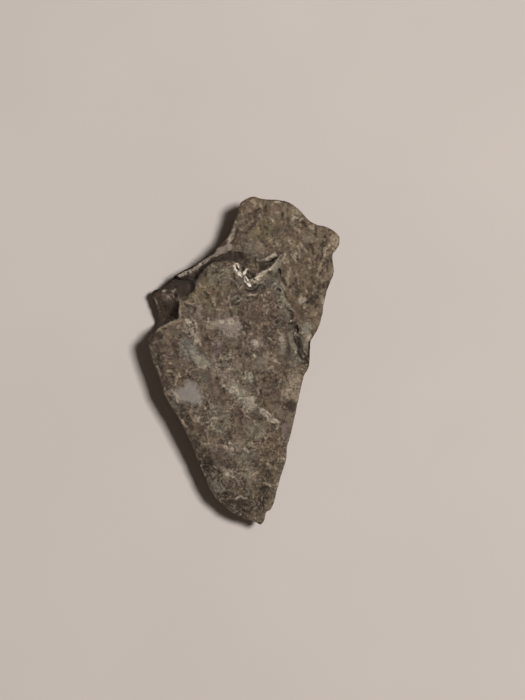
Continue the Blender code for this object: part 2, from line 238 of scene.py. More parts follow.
# Gradient noise, about -1 to 1: sum over a lattice cell's 8 corners of gradient . offset, each weighted by
# 6t^5 - 15t^4 + 10t^3 along X, Y and Z
def smoothNoise(points, cell, seed):
    scaled = points / cell
    base = np.floor(scaled).astype(np.int64)
    inside = scaled - base
    eased = inside**3 * (inside * (inside * 6 - 15) + 10)
    total = np.zeros(len(points))
    for corner in itertools.product((0, 1), repeat=3):
        at = base + corner
        mixed = at[:, 0] * 374761393 + at[:, 1] * 668265263 + at[:, 2] * 974634777 + seed * 362437
        mixed &= 0xFFFFFFFF
        mixed = ((mixed ^ (mixed >> 13)) * 1274126177) & 0xFFFFFFFF
        turn = ((mixed >> 8) & 0xFFF) / 4096 * 2 * math.pi
        rise = ((mixed >> 20) & 0xFFF) / 2048 - 1
        flat = np.sqrt(1 - rise**2)
        away = inside - corner
        slope = away[:, 0] * flat * np.cos(turn) + away[:, 1] * flat * np.sin(turn) + away[:, 2] * rise
        total += slope * np.prod(np.where(corner, eased, 1 - eased), axis=1)
    return total * 1.6  # brings it to about -1 to 1


# Catmull-Rom through closed points a, b, c, d: half of 2b + (c - a) t + (2a - 5b + 4c - d) t^2
# + (3b - a - 3c + d) t^3 in the gap from b to c
def curveThrough(points, steps):
    points = np.array(points)
    a, b, c, d = (np.roll(points, k, axis=0)[:, None, :] for k in (1, 0, -1, -2))
    t = np.linspace(0, 1, steps, endpoint=False)[None, :, None]
    return 0.5 * (2 * b + (c - a) * t + (2 * a - 5 * b + 4 * c - d) * t**2 + (3 * b - a - 3 * c + d) * t**3)


# Points at even distances along an open line: linear interpolation over its running length
def evenly(points, count):
    lengths = np.concatenate(([0], np.cumsum(np.hypot(*np.diff(points, axis=0).T))))
    wanted = np.linspace(0, lengths[-1], count)
    return np.stack([np.interp(wanted, lengths, points[:, k]) for k in (0, 1)], axis=1)


# Noise in two directions, as two columns: one layer for X and one for Y
def sideways(points, layers):
    return np.column_stack([smoothNoise(points, cell, seed) for cell, seed in layers])


# Layers of noise added up: sum of share * noise
def layered(points, layers):
    return sum(share * smoothNoise(points, cell, seed) for cell, seed, share in layers)


# The four sides of the outline as even points, cut from one closed smooth curve
def outlineSides(form, count):
    sides = [form[name] for name in ("headSide", "rightSide", "tipSide", "leftSide")]
    dense = curveThrough([p for side in sides for p in side], form["curveSteps"])
    ends = np.cumsum([0] + [len(side) for side in sides])
    runs = []
    for first, last in zip(ends[:-1], ends[1:]):
        run = dense[first:last].reshape(-1, 2)
        runs.append(evenly(np.vstack([run, dense[last % len(dense), 0]]), count))
    return runs


# Edge of the sawn face: outline blurred by a Gaussian, minus outward normal * (undercut - swing * normal x)
def sawnSides(form, sides):
    spread = form["sawnSpread"]
    loop = np.vstack([side[:-1] for side in sides])
    reach = np.arange(-3 * spread, 3 * spread + 1)
    weights = np.exp(-0.5 * (reach / spread) ** 2)
    weights /= weights.sum()
    smooth = sum(w * np.roll(loop, -k, axis=0) for w, k in zip(weights, reach))
    along = np.roll(smooth, -1, axis=0) - np.roll(smooth, 1, axis=0)
    along /= np.hypot(*along.T)[:, None]
    outward = np.stack([-along[:, 1], along[:, 0]], axis=1)
    loop = smooth - outward * (form["undercut"] - form["undercutSwing"] * outward[:, 0])[:, None]
    size = len(sides[0]) - 1
    return [np.vstack([loop[k * size:(k + 1) * size], loop[(k + 1) * size % len(loop)]]) for k in range(4)]


# Coons patch: blend of left and right sides + blend of tip and head sides - bilinear blend of the corners
def coonsPatch(sides, s, t):
    head, right, tip, left = sides
    right, tip = right[::-1], tip[::-1]
    spots = np.linspace(0, 1, len(head))

    def on(side, at):
        return np.stack([np.interp(at, spots, side[:, k]) for k in (0, 1)], axis=1)

    s1, t1 = s[:, None], t[:, None]
    across = (1 - t1) * on(tip, s) + t1 * on(head, s)
    along = (1 - s1) * on(left, t) + s1 * on(right, t)
    corners = (1 - t1) * ((1 - s1) * tip[0] + s1 * tip[-1]) + t1 * ((1 - s1) * head[0] + s1 * head[-1])
    return across + along - corners


# Distance to a polyline: least of |p - a - clamp((p-a).(b-a) / |b-a|^2, 0, 1) (b-a)| over its runs
def distanceToLine(spots, line):
    line = np.array(line)
    best = np.full(len(spots), np.inf)
    for a, b in zip(line[:-1], line[1:]):
        run = b - a
        share = np.clip((spots - a) @ run / (run @ run), 0, 1)
        best = np.minimum(best, np.hypot(*(spots - a - share[:, None] * run).T))
    return best


# Inside test: a ray along -X crosses the ring an odd number of times
def isInside(spots, ring):
    inside = np.zeros(len(spots), bool)
    for (x1, y1), (x2, y2) in zip(ring, ring[1:] + ring[:1]):
        crosses = (y1 > spots[:, 1]) != (y2 > spots[:, 1])
        with np.errstate(divide="ignore", invalid="ignore"):
            side = spots[:, 0] < (x2 - x1) * (spots[:, 1] - y1) / (y2 - y1) + x1
        inside ^= crosses & side
    return inside


# Distance past an edge: above 0 on the side of the far points, below 0 on the near side
def beyondEdge(spots, edge, farPoints):
    away = distanceToLine(spots, edge)
    return np.where(isInside(spots, edge + farPoints), away, -away)


# 0 up to an edge, then 1 - (1 - away / width)^power: steep at the edge, flat at its foot
def fall(form, away, width):
    return 1 - (1 - np.clip(away / width, 0, 1)) ** form["fallPower"]


# Ridge or groove: height * (1 - distance / half width), never past its flanks
def welt(spots, feature):
    line, halfWidth, height = feature
    return height * np.clip(1 - distanceToLine(spots, line) / halfWidth, 0, 1)


# Softened lower of two heights: (a + b - sqrt((a - b)^2 + blend^2)) / 2
def lowerOf(a, b, blend):
    return 0.5 * (a + b - np.sqrt((a - b) ** 2 + blend**2))


# A level surface cut by planes: height + riseX (x - x0) + riseY (y - y0)
def faceted(form, spots, level, facets):
    for (x, y), height, riseX, riseY in facets:
        plane = height + riseX * (spots[:, 0] - x) + riseY * (spots[:, 1] - y)
        level = lowerOf(level, plane, form["facetBlend"])
    return level


# Floor of the broken corner: lower of the ledge and the higher of two slopes, + crevice. The slopes are
# slab - slope * distance past the crest, and the rise out of the hollow
def brokenCorner(form, spots):
    start, end = np.array(form["crestStart"]), np.array(form["crestEnd"])
    along = (end - start) / np.hypot(*(end - start))
    past = (spots - start) @ np.array([-along[1], along[0]])
    slab = form["slabLevel"] + (spots - end) @ np.array(form["slabRise"])
    crest = slab - form["crestFarSlope"] * np.maximum(past, 0)
    hollow = slab - form["crestFarSlope"] * form["hollowWidth"]
    rise = hollow + form["hollowSlope"] * (past - form["hollowWidth"])
    fromBreak = distanceToLine(spots, form["breakEdge"])
    ledge = form["ledgeLevel"] - form["ledgeFall"] * (fromBreak - form["ledgeFallFrom"])
    ledge += form["ledgeRise"] * np.maximum(spots[:, 0] - form["ledgeFrom"], 0)
    return np.minimum(ledge, np.maximum(crest, rise)) + welt(spots, crevice)


# Height of the upper surface: head + (face - head) * fall off the head, + ridges and grooves, then
# + (corner - that) * fall past the break, + lumps - wear * (1 - distance to the rim / width)^2
def topHeight(form, spots):
    at = np.column_stack([spots, np.zeros(len(spots))])
    wander = sideways(at, form["wanderNoise"])
    near = spots + form["lineWander"] * (wander + layered(at, [form["fineWanderNoise"]])[:, None])
    bent = near + form["facetWander"] * wander
    slant = 1 + layered(at, [form["slantNoise"]])
    face = faceted(form, bent, form["faceLevel"] + form["faceRise"] * spots[:, 1], form["faceFacets"])
    head = faceted(form, bent, np.full(len(spots), form["headLevel"]), form["headFacets"])
    fromHead = -beyondEdge(near, form["headEdge"], form["headBeyond"])
    offHead = fall(form, fromHead, form["headSlopeWidth"] * slant)
    high = head + (face - head) * offHead
    for feature in (trough, sharpRidge, headRib, pocket, sideNick):
        high = high + welt(near, feature)
    pastBreak = beyondEdge(near, form["breakEdge"], form["breakBeyond"])
    broken = fall(form, pastBreak, form["breakSlopeWidth"] * slant)
    dentCell, dentSeed, dentShare = form["dentNoise"]
    lumps = layered(at, form["lumpNoise"]) - dentShare * np.abs(smoothNoise(at, dentCell, dentSeed))
    sides = outlineSides(form, form["rimPoints"])
    rim = np.vstack([side[:-1] for side in sides] + [sides[0][:1]])
    worn = np.clip(1 - distanceToLine(spots, rim) / form["edgeWearWidth"], 0, 1) ** 2
    level = high + (brokenCorner(form, near) - high) * broken
    return level + form["faceLump"] * lumps - form["edgeWearDrop"] * worn, broken, 1 - offHead


# Plan = sawn edge + share * (outline - sawn edge), with share 1 - (1 - h / belly)^2 below the belly and
# 1 - (1 - rim share) * (way from the belly to the rim)^2 above it, less chips; level = h * upper height
def stonePoints(form, s, t, h):
    sides = outlineSides(form, form["sidePoints"])
    sawn = coonsPatch(sawnSides(form, sides), s, t)
    out = coonsPatch(sides, s, t) - sawn
    top, broken, onHead = topHeight(form, sawn + form["rimShare"] * out)
    level = h * top
    belly = form["bellyShare"]
    above = 1 - (1 - form["rimShare"]) * ((h - belly) / (1 - belly)) ** 2
    share = np.where(h < belly, 1 - (1 - h / belly) ** 2, above)
    at = np.column_stack([sawn + share[:, None] * out, level])
    toBelly = 1 - np.clip(h / belly, 0, 1) ** form["chipFade"]
    chips = sum(amount * np.abs(smoothNoise(at, cell, seed)) for cell, seed, amount in form["chipNoise"])
    share = share - form["wallChips"] * toBelly * chips
    lumps = sideways(at, form["wallNoise"])
    plan = sawn + share[:, None] * out + form["wallLump"] * toBelly[:, None] * lumps
    return np.column_stack([plan, level]), broken, onHead


# A box's skin on (s, t, h): a top grid, rings of wall below its edge, and one face for the sawn side
def boxSkin(across, along, down):
    i, j = np.meshgrid(np.arange(across + 1), np.arange(along + 1))
    index = j * (across + 1) + i
    ring = np.concatenate([index[0, :-1], index[:-1, -1], index[-1, :0:-1], index[:0:-1, 0]])
    topS, topT = i.ravel() / across, j.ravel() / along
    rows = np.arange(1, down + 1)
    s = np.concatenate([topS, np.tile(topS[ring], down)])
    t = np.concatenate([topT, np.tile(topT[ring], down)])
    h = np.concatenate([np.ones(len(topS)), np.repeat(1 - rows / down, len(ring))])
    walls = len(topS) + np.arange(down * len(ring)).reshape(down, len(ring))
    rings = np.vstack([ring[None, :], walls])
    after = np.roll(rings, -1, axis=1)
    topQuads = np.stack([index[:-1, :-1], index[:-1, 1:], index[1:, 1:], index[1:, :-1]], axis=-1)
    wallQuads = np.stack([rings[:-1], rings[1:], after[1:], after[:-1]], axis=-1)
    quads = np.vstack([topQuads.reshape(-1, 4), wallQuads.reshape(-1, 4)])
    return s, t, h, quads, rings[-1][::-1]


# Vertex normals: sum of the cross products of each quad's diagonals, made one long
def normalsOf(points, quads):
    p = points[quads]
    cross = np.cross(p[:, 2] - p[:, 0], p[:, 3] - p[:, 1])
    total = np.zeros_like(points)
    for corner in range(4):
        for axis in range(3):
            total[:, axis] += np.bincount(quads[:, corner], cross[:, axis], len(points))
    return total / np.maximum(np.linalg.norm(total, axis=1), 1e-12)[:, None]


# Fine relief along the normal: (noise layers - |creases|) * gain + small features + crumble - cone pits,
# faded out at the sawn face
def fineHeight(points, onWall, nearRim, values):
    relief = sum(height * smoothNoise(points, cell, seed) for cell, height, seed in values["layers"])
    for cell, height, seed in values["creases"]:
        relief -= height * np.abs(smoothNoise(points, cell, seed))
    gain = 1 + (values["wallGain"] - 1) * onWall
    relief *= gain + (values["rimGain"] - gain) * nearRim
    spots = points[:, :2]
    near = spots + values["wander"] * sideways(points, values["wanderNoise"])
    marks = sum(welt(near, feature) for feature in values["features"])
    away = np.hypot(*(near - values["crumbleAt"]).T)
    crumble = np.clip(1 - away / values["crumbleReach"], 0, 1) ** values["crumbleFade"]
    marks += values["crumble"] * crumble * layered(points, values["crumbleNoise"])
    draw = np.random.default_rng(values["pitSeed"])
    for _ in range(values["pitCount"]):
        at = draw.uniform(values["pitLow"], values["pitHigh"])
        radius, depth = draw.uniform(*values["pitRadius"]), draw.uniform(*values["pitDepth"])
        marks -= depth * np.clip(1 - np.hypot(*(near - at).T) / radius, 0, 1)
    fade = np.clip(points[:, 2] / values["sawnFade"], 0, 1)
    return (relief + marks * (1 - onWall)) * fade


# Crumbs strewn over the upper face
crumbs = {
    "counts": {"crumbPale": 900, "crumbDark": 900, "crumbStraw": 260},
    "heights": {"crumbPale": 0.035, "crumbDark": -0.05, "crumbStraw": 0.025},
    "length": (0.04, 0.42),
    "halfWidth": (0.045, 0.12),
    "strength": (0.1, 0.95),
    "soft": 0.08,
    "bend": 0.4,  # how much a crumb turns at each step, in radians
    "steps": 2,
    "crowdNoise": (1.9, 63),  # cell, seed
    "crowd": 0.75,  # how much stronger they are where they crowd
    "wander": 0.07,
    "wanderNoise": [(0.22, 61), (0.22, 62)],
    "low": (-7.7, -13.2), "high": (7.7, 13.2),
    "uprightFrom": (2.9, 4.2),  # beyond here they stand along Y
    "uprightSpread": 0.25,
    "uprightStretch": 2.0,
    "uprightWidth": 1.15,
    "uprightStrength": 0.25,
    "margin": 0.3,  # how far round a crumb its points are looked for
    "seed": 17,
}


# Strength of the crumbs of each kind: most of own strength * clamp(0.5 + (half width - distance to its bent
# line) / soft, 0, 1)
def crumbFields(points, values):
    draw = np.random.default_rng(values["seed"])
    spots = points[:, :2] + values["wander"] * sideways(points, values["wanderNoise"])
    order = np.argsort(spots[:, 1])
    sortedY = spots[order, 1]
    fields = {}
    for family, count in values["counts"].items():
        field = np.zeros(len(points))
        starts = draw.uniform(values["low"], values["high"], (count, 2))
        crowding = smoothNoise(np.column_stack([starts, np.zeros(count)]), *values["crowdNoise"])
        for start, crowded in zip(starts, crowding):
            upright = start[0] > values["uprightFrom"][0] and start[1] > values["uprightFrom"][1]
            length, halfWidth = draw.uniform(*values["length"]), draw.uniform(*values["halfWidth"])
            heading = draw.uniform(0, 2 * math.pi)
            if upright:
                heading = math.pi / 2 + draw.normal(0, values["uprightSpread"])
                length, halfWidth = length * values["uprightStretch"], halfWidth * values["uprightWidth"]
            strength = draw.uniform(*values["strength"]) + values["crowd"] * crowded
            strength = np.clip(strength + values["uprightStrength"] * upright, 0, 1)
            turns = heading + np.cumsum(draw.normal(0, values["bend"], values["steps"]))
            runs = np.column_stack([np.cos(turns), np.sin(turns)]) * length / values["steps"]
            line = start + np.vstack([[0, 0], np.cumsum(runs, axis=0)])
            reach = length + values["margin"]
            first, last = np.searchsorted(sortedY, (start[1] - reach, start[1] + reach))
            near = order[first:last]
            near = near[np.abs(spots[near, 0] - start[0]) < reach]
            cover = np.clip(0.5 + (halfWidth - distanceToLine(spots[near], line)) / values["soft"], 0, 1)
            field[near] = np.maximum(field[near], strength * cover)
        fields[family] = field
    return fields


# Marks with corners of their own: each is a ring of points
corneredMarks = {
    "umber": [  # dark brown stains
        [(0.0, 11.9), (0.7, 12.0), (0.7, 11.3), (0.1, 11.3)],
        [(-0.1, 9.4), (0.75, 9.4), (0.75, 8.65), (0.1, 8.6)],
        [(-3.1, 2.2), (-2.4, 2.2), (-2.3, 1.2), (-3.0, 1.2)],
        [(1.0, -0.4), (2.8, -0.6), (2.9, -1.8), (1.2, -1.8)],
        [(-4.2, -4.4), (-3.6, -4.6), (-3.3, -5.6), (-3.5, -6.5), (-3.9, -6.2), (-4.0, -5.2)],
    ],
    "rosy": [  # reddish brown areas
        [(0.8, 12.2), (1.5, 12.1), (1.6, 11.6), (1.0, 11.1), (0.7, 11.5)],
        [(1.0, 12.6), (2.6, 12.6), (2.6, 12.0), (1.3, 12.1)],
        [(-0.32, 4.88), (1.44, 5.12), (2.4, 4.4), (2.56, 2.16), (1.44, 1.68), (0.16, 2.08), (-0.24, 3.44)],
        [(-6.88, 1.6), (-5.6, 1.92), (-5.28, 0.24), (-5.68, -1.52), (-6.64, -0.88)],
        [(-3.28, 1.84), (-2.0, 1.92), (-1.68, 0.96), (-2.72, 0.64)],
        [(-7.44, 0.96), (-6.72, 1.2), (-6.24, -0.08), (-6.08, -1.52), (-5.44, -3.44), (-5.92, -3.12),
         (-6.72, -1.52), (-7.28, -0.08)],
        [(-3.2, 2.0), (-2.4, 1.52), (-1.76, 0.72), (-1.92, -0.24), (-2.72, 0.08), (-3.28, 1.04)],
        [(-2.4, -1.84), (-1.44, -2.48), (-1.12, -3.44), (-2.08, -3.28), (-2.72, -2.48)],
    ],
    "olive": [  # olive stains
        [(0.95, 11.1), (1.45, 11.75), (2.25, 11.6), (2.55, 10.8), (2.25, 9.85), (1.6, 9.5), (1.1, 10.0)],
        [(3.4, 12.4), (4.3, 12.2), (4.6, 11.6), (3.8, 11.6), (3.3, 11.9)],
        [(-4.9, 5.2), (-3.7, 5.9), (-2.9, 7.0), (-1.5, 6.8), (-1.1, 5.9), (-2.2, 4.9), (-3.0, 4.3),
         (-4.6, 4.2)],
        [(0.2, -11.8), (1.4, -11.8), (1.5, -12.6), (0.4, -12.6)],
    ],
    "straw": [  # yellowish grains
        [(0.3, 10.45), (1.0, 10.55), (1.0, 9.7), (0.4, 9.7)],
    ],
    "tan": [  # pale brown clasts and grains
        [(0.8, 9.3), (1.15, 9.55), (1.5, 9.4), (1.75, 8.9), (1.55, 8.55), (1.0, 8.75)],
        [(4.8, 9.9), (5.6, 10.1), (6.0, 9.7), (5.6, 9.45), (4.8, 9.4)],
        [(-3.2, 3.2), (-2.2, 3.3), (-2.1, 2.5), (-3.0, 2.5)],
        [(3.5, -1.1), (4.5, -1.0), (4.6, -2.2), (4.3, -3.1), (3.7, -3.0), (2.95, -3.2), (2.95, -2.0),
         (3.4, -2.2)],
    ],
    "cream": [  # cream clasts, slivers and grains
        [(4.48, 5.12), (4.96, 5.12), (5.04, 4.88), (4.72, 4.64), (4.48, 4.48), (4.4, 4.72)],
        [(-5.84, -2.32), (-5.44, -2.56), (-5.04, -3.12), (-5.2, -3.28), (-5.6, -2.8)],
        [(1.12, -3.68), (1.44, -3.76), (1.84, -4.0), (2.24, -4.32), (2.64, -4.72), (2.96, -5.08),
         (2.48, -4.96), (2.0, -4.76), (1.6, -4.4), (1.28, -4.0)],
        [(-1.28, 3.36), (-0.88, 3.32), (-0.72, 3.04), (-1.04, 2.84), (-1.28, 3.04)],
        [(-2.0, 3.28), (-1.6, 3.36), (-1.6, 3.04), (-1.92, 2.96)],
        [(0.72, 1.68), (1.12, 1.72), (1.12, 1.36), (0.8, 1.28)],
        [(-0.96, -2.08), (-0.56, -2.16), (-0.32, -2.56), (-0.72, -2.48)],
        [(0.16, -2.88), (0.64, -2.88), (0.8, -3.28), (0.32, -3.2)],
        [(-4.4, 2.88), (-4.16, 2.72), (-3.6, 1.6), (-3.84, 1.52), (-4.24, 2.24)],
        [(-4.72, 3.36), (-4.32, 3.36), (-4.24, 3.04), (-4.64, 3.04)],
    ],
    "dark": [  # dark pits and lines
        [(5.3, 5.4), (6.0, 5.3), (6.0, 5.0), (5.4, 4.95)],
        [(1.2, 7.9), (1.9, 7.85), (1.95, 7.6), (1.5, 7.3), (1.2, 7.4)],
        [(-1.0, 5.44), (-0.3, 5.4), (-0.3, 4.6), (-0.6, 4.4), (-1.0, 4.6)],
        [(3.2, -3.3), (4.15, -3.3), (4.1, -4.0), (3.3, -3.95)],
        [(-0.7, -11.1), (0.2, -11.2), (0.3, -11.7), (-0.5, -11.8)],
    ],
    "slate": [  # grey stains
        [(0.3, 8.6), (1.4, 8.6), (1.4, 8.1), (0.4, 8.0)],
        [(3.5, 0.6), (4.2, 0.5), (4.6, -0.1), (4.2, -0.4), (3.5, -0.2)],
        [(4.4, 1.7), (5.1, 1.5), (5.1, 0.4), (4.7, 0.5)],
        [(-4.9, 1.7), (-4.3, 1.7), (-4.1, 0.6), (-4.4, 0.3), (-4.9, 0.4)],
    ],
    "mint": [  # grey-green patches and threads
        [(2.24, 7.84), (2.6, 7.9), (2.76, 7.4), (2.64, 7.0), (2.3, 7.3)],
        [(3.2, 5.04), (3.44, 4.64), (2.96, 4.2), (2.84, 4.4), (3.06, 4.72)],
        [(4.6, 3.1), (5.3, 3.0), (5.5, 2.5), (5.1, 2.0), (4.6, 2.2)],
        [(-4.1, 0.8), (-3.3, 0.2), (-2.6, -0.25), (-3.0, -0.5), (-3.6, -0.4), (-4.0, 0.1)],
        [(-1.2, -2.2), (-0.8, -1.7), (-0.4, -1.9), (0.3, -2.9), (0.9, -2.9), (0.95, -3.6), (0.4, -4.1),
         (-0.1, -3.5), (-0.7, -2.9)],
        [(0.0, -0.9), (0.6, -0.8), (0.8, -1.6), (0.1, -1.7)],
        [(-1.12, -2.24), (-0.64, -2.32), (-0.24, -2.68), (-0.48, -2.8), (-0.96, -2.56)],
        [(-3.68, 0.32), (-3.2, 0.4), (-2.64, -0.24), (-2.88, -0.52), (-3.44, -0.48)],
        [(2.0, 7.36), (2.48, 7.84), (2.92, 8.16), (2.96, 7.92), (2.8, 7.44), (2.72, 6.88), (2.48, 6.84),
         (2.32, 7.12)],
        [(-1.68, -8.76), (-1.36, -8.8), (-0.88, -9.12), (-0.56, -9.4), (-0.32, -9.76), (-0.64, -9.6),
         (-1.12, -9.36), (-1.52, -9.08)],
    ],
    "blush": [  # pale rosy clasts
        [(-2.56, 3.36), (-2.0, 3.52), (-1.44, 3.28), (-1.04, 3.56), (-0.48, 3.28), (-0.16, 2.64),
         (-0.24, 2.0), (-0.64, 1.88), (-1.04, 2.24), (-1.52, 2.0), (-1.92, 2.48), (-2.4, 2.8)],
        [(-2.16, 3.2), (-1.28, 3.52), (-0.32, 3.28), (-0.16, 2.4), (-0.96, 1.84), (-1.84, 2.16)],
        [(0.52, 1.6), (0.8, 1.8), (1.04, 1.68), (1.28, 1.8), (1.44, 1.44), (1.36, 1.12), (1.04, 0.96),
         (0.64, 1.12)],
        [(0.08, -3.04), (0.56, -2.96), (0.88, -3.28), (0.8, -3.76), (0.48, -3.92), (0.16, -3.68)],
    ],
    "milky": [  # the milky clast
        [(-5.92, -2.4), (-5.28, -2.16), (-4.72, -1.84), (-4.16, -1.6), (-3.76, -1.84), (-3.52, -2.32),
         (-3.28, -2.88), (-3.44, -3.36), (-4.0, -3.44), (-4.56, -3.28), (-5.04, -3.28), (-5.36, -2.96)],
    ],
    "mauve": [  # greyish red grains
        [(3.1, -5.1), (3.55, -5.1), (3.45, -6.3), (3.0, -5.8)],
    ],
    "tawny": [  # warm brown areas
        [(-0.64, 12.88), (1.44, 13.12), (3.68, 12.64), (4.48, 11.92), (3.28, 11.92), (1.44, 12.16),
         (0.16, 11.76), (-0.64, 11.6)],
        [(3.12, 7.92), (4.32, 7.76), (6.08, 8.24), (6.56, 6.8), (6.0, 4.88), (5.28, 3.44), (4.48, 2.96),
         (3.76, 4.4), (3.36, 6.08)],
        [(1.44, -5.84), (3.28, -5.52), (2.88, -7.6), (2.24, -9.52), (1.44, -11.52), (0.64, -12.32),
         (0.0, -11.76), (0.96, -9.68), (1.12, -7.6)],
        [(-5.44, -3.28), (-4.0, -3.6), (-3.68, -5.36), (-3.04, -6.8), (-3.68, -7.28), (-4.64, -5.52)],
        [(1.44, 0.88), (2.88, 0.72), (3.36, -0.4), (2.56, -1.2), (1.44, -0.72)],
    ],
    "gloom": [  # dark areas along the edges and at the tip: mostly painted shade where the surface turns from the light, with some dark stone
        [(-4.0, -6.0), (-2.96, -6.48), (-2.24, -8.4), (-1.76, -9.52), (-1.12, -10.48), (0.16, -11.6),
         (0.48, -12.56), (-0.48, -12.4), (-2.4, -10.88), (-3.52, -8.56)],
        [(0.96, -10.64), (1.92, -10.0), (1.84, -11.36), (1.12, -12.08), (0.48, -11.76)],
        [(-7.76, 2.24), (-6.88, 2.24), (-6.64, 1.52), (-7.36, 1.2), (-7.76, 1.44)],
        [(-7.52, 0.72), (-6.88, -0.88), (-6.08, -2.8), (-6.72, -2.32), (-7.52, -0.4)],
        [(3.2, -3.12), (4.16, -3.2), (4.0, -4.08), (3.12, -3.92)],
        [(-4.0, -6.0), (-3.2, -6.32), (-2.48, -7.76), (-2.0, -9.04), (-1.28, -10.08), (-0.32, -11.12),
         (0.48, -11.84), (0.32, -12.8), (-0.64, -12.56), (-2.08, -11.2), (-3.2, -9.52), (-3.84, -7.52)],
        [(0.96, -10.0), (1.76, -10.0), (2.08, -11.12), (1.44, -12.24), (0.96, -11.76)],
        [(-0.64, -10.96), (0.64, -11.12), (0.96, -11.92), (0.32, -12.8), (-0.48, -12.32)],
        [(-7.52, 1.52), (-6.96, 1.6), (-6.72, 0.72), (-6.48, -0.56), (-5.84, -2.16), (-6.08, -2.8),
         (-6.88, -1.12), (-7.44, 0.24)],
        [(-5.44, -3.44), (-4.8, -3.52), (-4.16, -5.04), (-3.52, -6.64), (-3.84, -7.28), (-4.64, -5.68),
         (-5.28, -4.24)],
        [(1.44, -8.72), (2.16, -8.08), (2.32, -9.2), (2.0, -10.48), (1.44, -10.32)],
        [(-3.2, -8.4), (-2.56, -9.52), (-1.76, -10.88), (-0.96, -11.92), (-1.76, -11.6), (-2.88, -10.16)],
        [(0.32, -11.12), (1.12, -10.64), (1.76, -11.6), (1.44, -12.72), (0.64, -12.24)],
    ],
    "chalk": [  # pale areas
        [(-2.88, 0.4), (-0.96, 0.64), (-0.56, -0.4), (-1.36, -1.36), (-2.64, -1.12)],
        [(-4.8, 3.44), (-3.92, 3.44), (-3.44, 2.16), (-3.84, 1.36), (-4.48, 2.16)],
        [(-1.76, -1.44), (-0.48, -1.6), (0.48, -2.64), (1.04, -3.52), (0.0, -4.0), (-0.96, -2.88)],
        [(2.8, 5.04), (3.44, 4.8), (3.68, 3.44), (3.04, 3.44)],
        [(0.88, 0.16), (1.92, 0.16), (2.0, -0.88), (1.04, -0.96)],
        [(-4.8, 4.64), (-3.52, 4.64), (-3.12, 3.52), (-4.32, 3.44)],
        [(-1.6, -8.72), (-0.48, -8.72), (-0.64, -9.68), (-1.6, -9.52)],
        [(-1.6, -6.48), (-0.8, -6.48), (-0.48, -7.28), (-1.12, -7.6), (-1.68, -7.12)],
        [(-0.32, 9.2), (0.48, 9.6), (1.44, 9.44), (1.44, 8.72), (0.64, 8.4), (-0.08, 8.56)],
        [(1.44, 0.4), (2.24, 0.72), (2.56, 0.24), (1.76, -0.08)],
    ],
    "moss": [  # grey-green areas
        [(-2.96, -4.32), (-1.44, -4.16), (-0.96, -5.36), (-2.0, -5.92), (-3.04, -5.44)],
        [(-0.08, -4.96), (1.44, -4.96), (1.68, -6.0), (0.48, -6.4)],
        [(3.52, 2.08), (4.64, 2.64), (5.2, 1.28), (4.8, 0.32), (3.76, 0.56)],
        [(-3.04, 7.52), (-1.28, 7.68), (-0.64, 6.72), (-1.76, 6.08), (-2.96, 6.24)],
        [(-0.64, -6.32), (0.8, -6.4), (0.88, -8.08), (-0.32, -8.4), (-0.8, -7.28)],
        [(0.0, -8.56), (1.04, -8.4), (1.12, -9.68), (0.16, -9.84)],
        [(-4.16, 0.88), (-3.12, 0.64), (-2.56, -0.24), (-3.2, -0.64), (-4.0, 0.0)],
        [(-2.88, -3.28), (-1.76, -3.44), (-0.96, -4.24), (-1.44, -5.04), (-2.72, -4.4)],
    ],
    "hollowShade": [  # painted shade in the hollow and the crevice
        [(-5.44, 5.68), (-5.12, 6.24), (-4.32, 6.48), (-3.84, 6.16), (-3.92, 5.6), (-4.48, 5.2),
         (-5.04, 5.2)],
        [(-7.52, 5.52), (-6.72, 5.92), (-5.76, 6.72), (-4.64, 7.04), (-3.76, 6.8), (-4.08, 6.16),
         (-4.96, 6.08), (-5.76, 5.68), (-6.72, 5.44)],
        [(-2.4, 8.24), (-1.76, 8.48), (-0.96, 8.4), (-0.16, 8.72), (-0.08, 8.24), (-0.64, 7.92),
         (-1.28, 8.0), (-2.0, 7.92)],
    ],
    "haze": [  # bluish grey areas
        [(-5.28, 1.52), (-4.24, 1.6), (-3.76, 0.48), (-4.08, -0.16), (-4.88, 0.24)],
        [(-2.88, -9.52), (-1.76, -9.68), (-1.44, -10.48), (-2.24, -10.64)],
        [(-5.12, 1.76), (-4.48, 1.92), (-3.92, 1.12), (-3.44, 0.24), (-3.84, -0.08), (-4.4, 0.56),
         (-4.96, 0.88)],
    ],
    "bright": [  # painted highlight on the ridge and lip beside the trough
        [(0.52, 6.28), (0.6, 6.6), (1.04, 6.72), (1.52, 7.12), (2.08, 7.44), (2.16, 7.32), (1.6, 6.92),
         (1.2, 6.52), (0.8, 6.24)],
        [(1.0, 8.12), (1.44, 8.18), (1.92, 8.34), (2.4, 8.56), (2.56, 8.64), (2.48, 8.4), (1.92, 8.14),
         (1.44, 8.0)],
    ],
    "blue": [  # one bluish spot
        [(-4.88, 1.6), (-4.4, 1.76), (-4.08, 1.12), (-4.32, 0.64), (-4.72, 0.96)],
    ],
    "glint": [  # painted highlight on the raised slivers below the trough
        [(-0.08, 6.72), (0.16, 6.8), (0.4, 6.4), (0.64, 5.92), (0.4, 6.0), (0.08, 6.32)],
        [(-0.56, 7.12), (-0.32, 7.2), (-0.08, 6.88), (-0.16, 6.64), (-0.4, 6.88)],
        [(-0.88, 7.6), (-0.8, 7.68), (-0.64, 7.36), (-0.48, 7.2), (-0.64, 7.12), (-0.8, 7.36)],
        [(-0.8, 7.84), (-0.56, 7.84), (-0.32, 7.6), (-0.24, 7.36), (-0.4, 7.44), (-0.56, 7.68)],
        [(-0.08, 7.04), (0.08, 7.28), (0.32, 7.36), (0.24, 7.2), (0.08, 6.96), (-0.08, 6.8)],
        [(0.48, 6.72), (0.64, 6.72), (0.64, 6.48), (0.48, 6.48)],
    ],
}

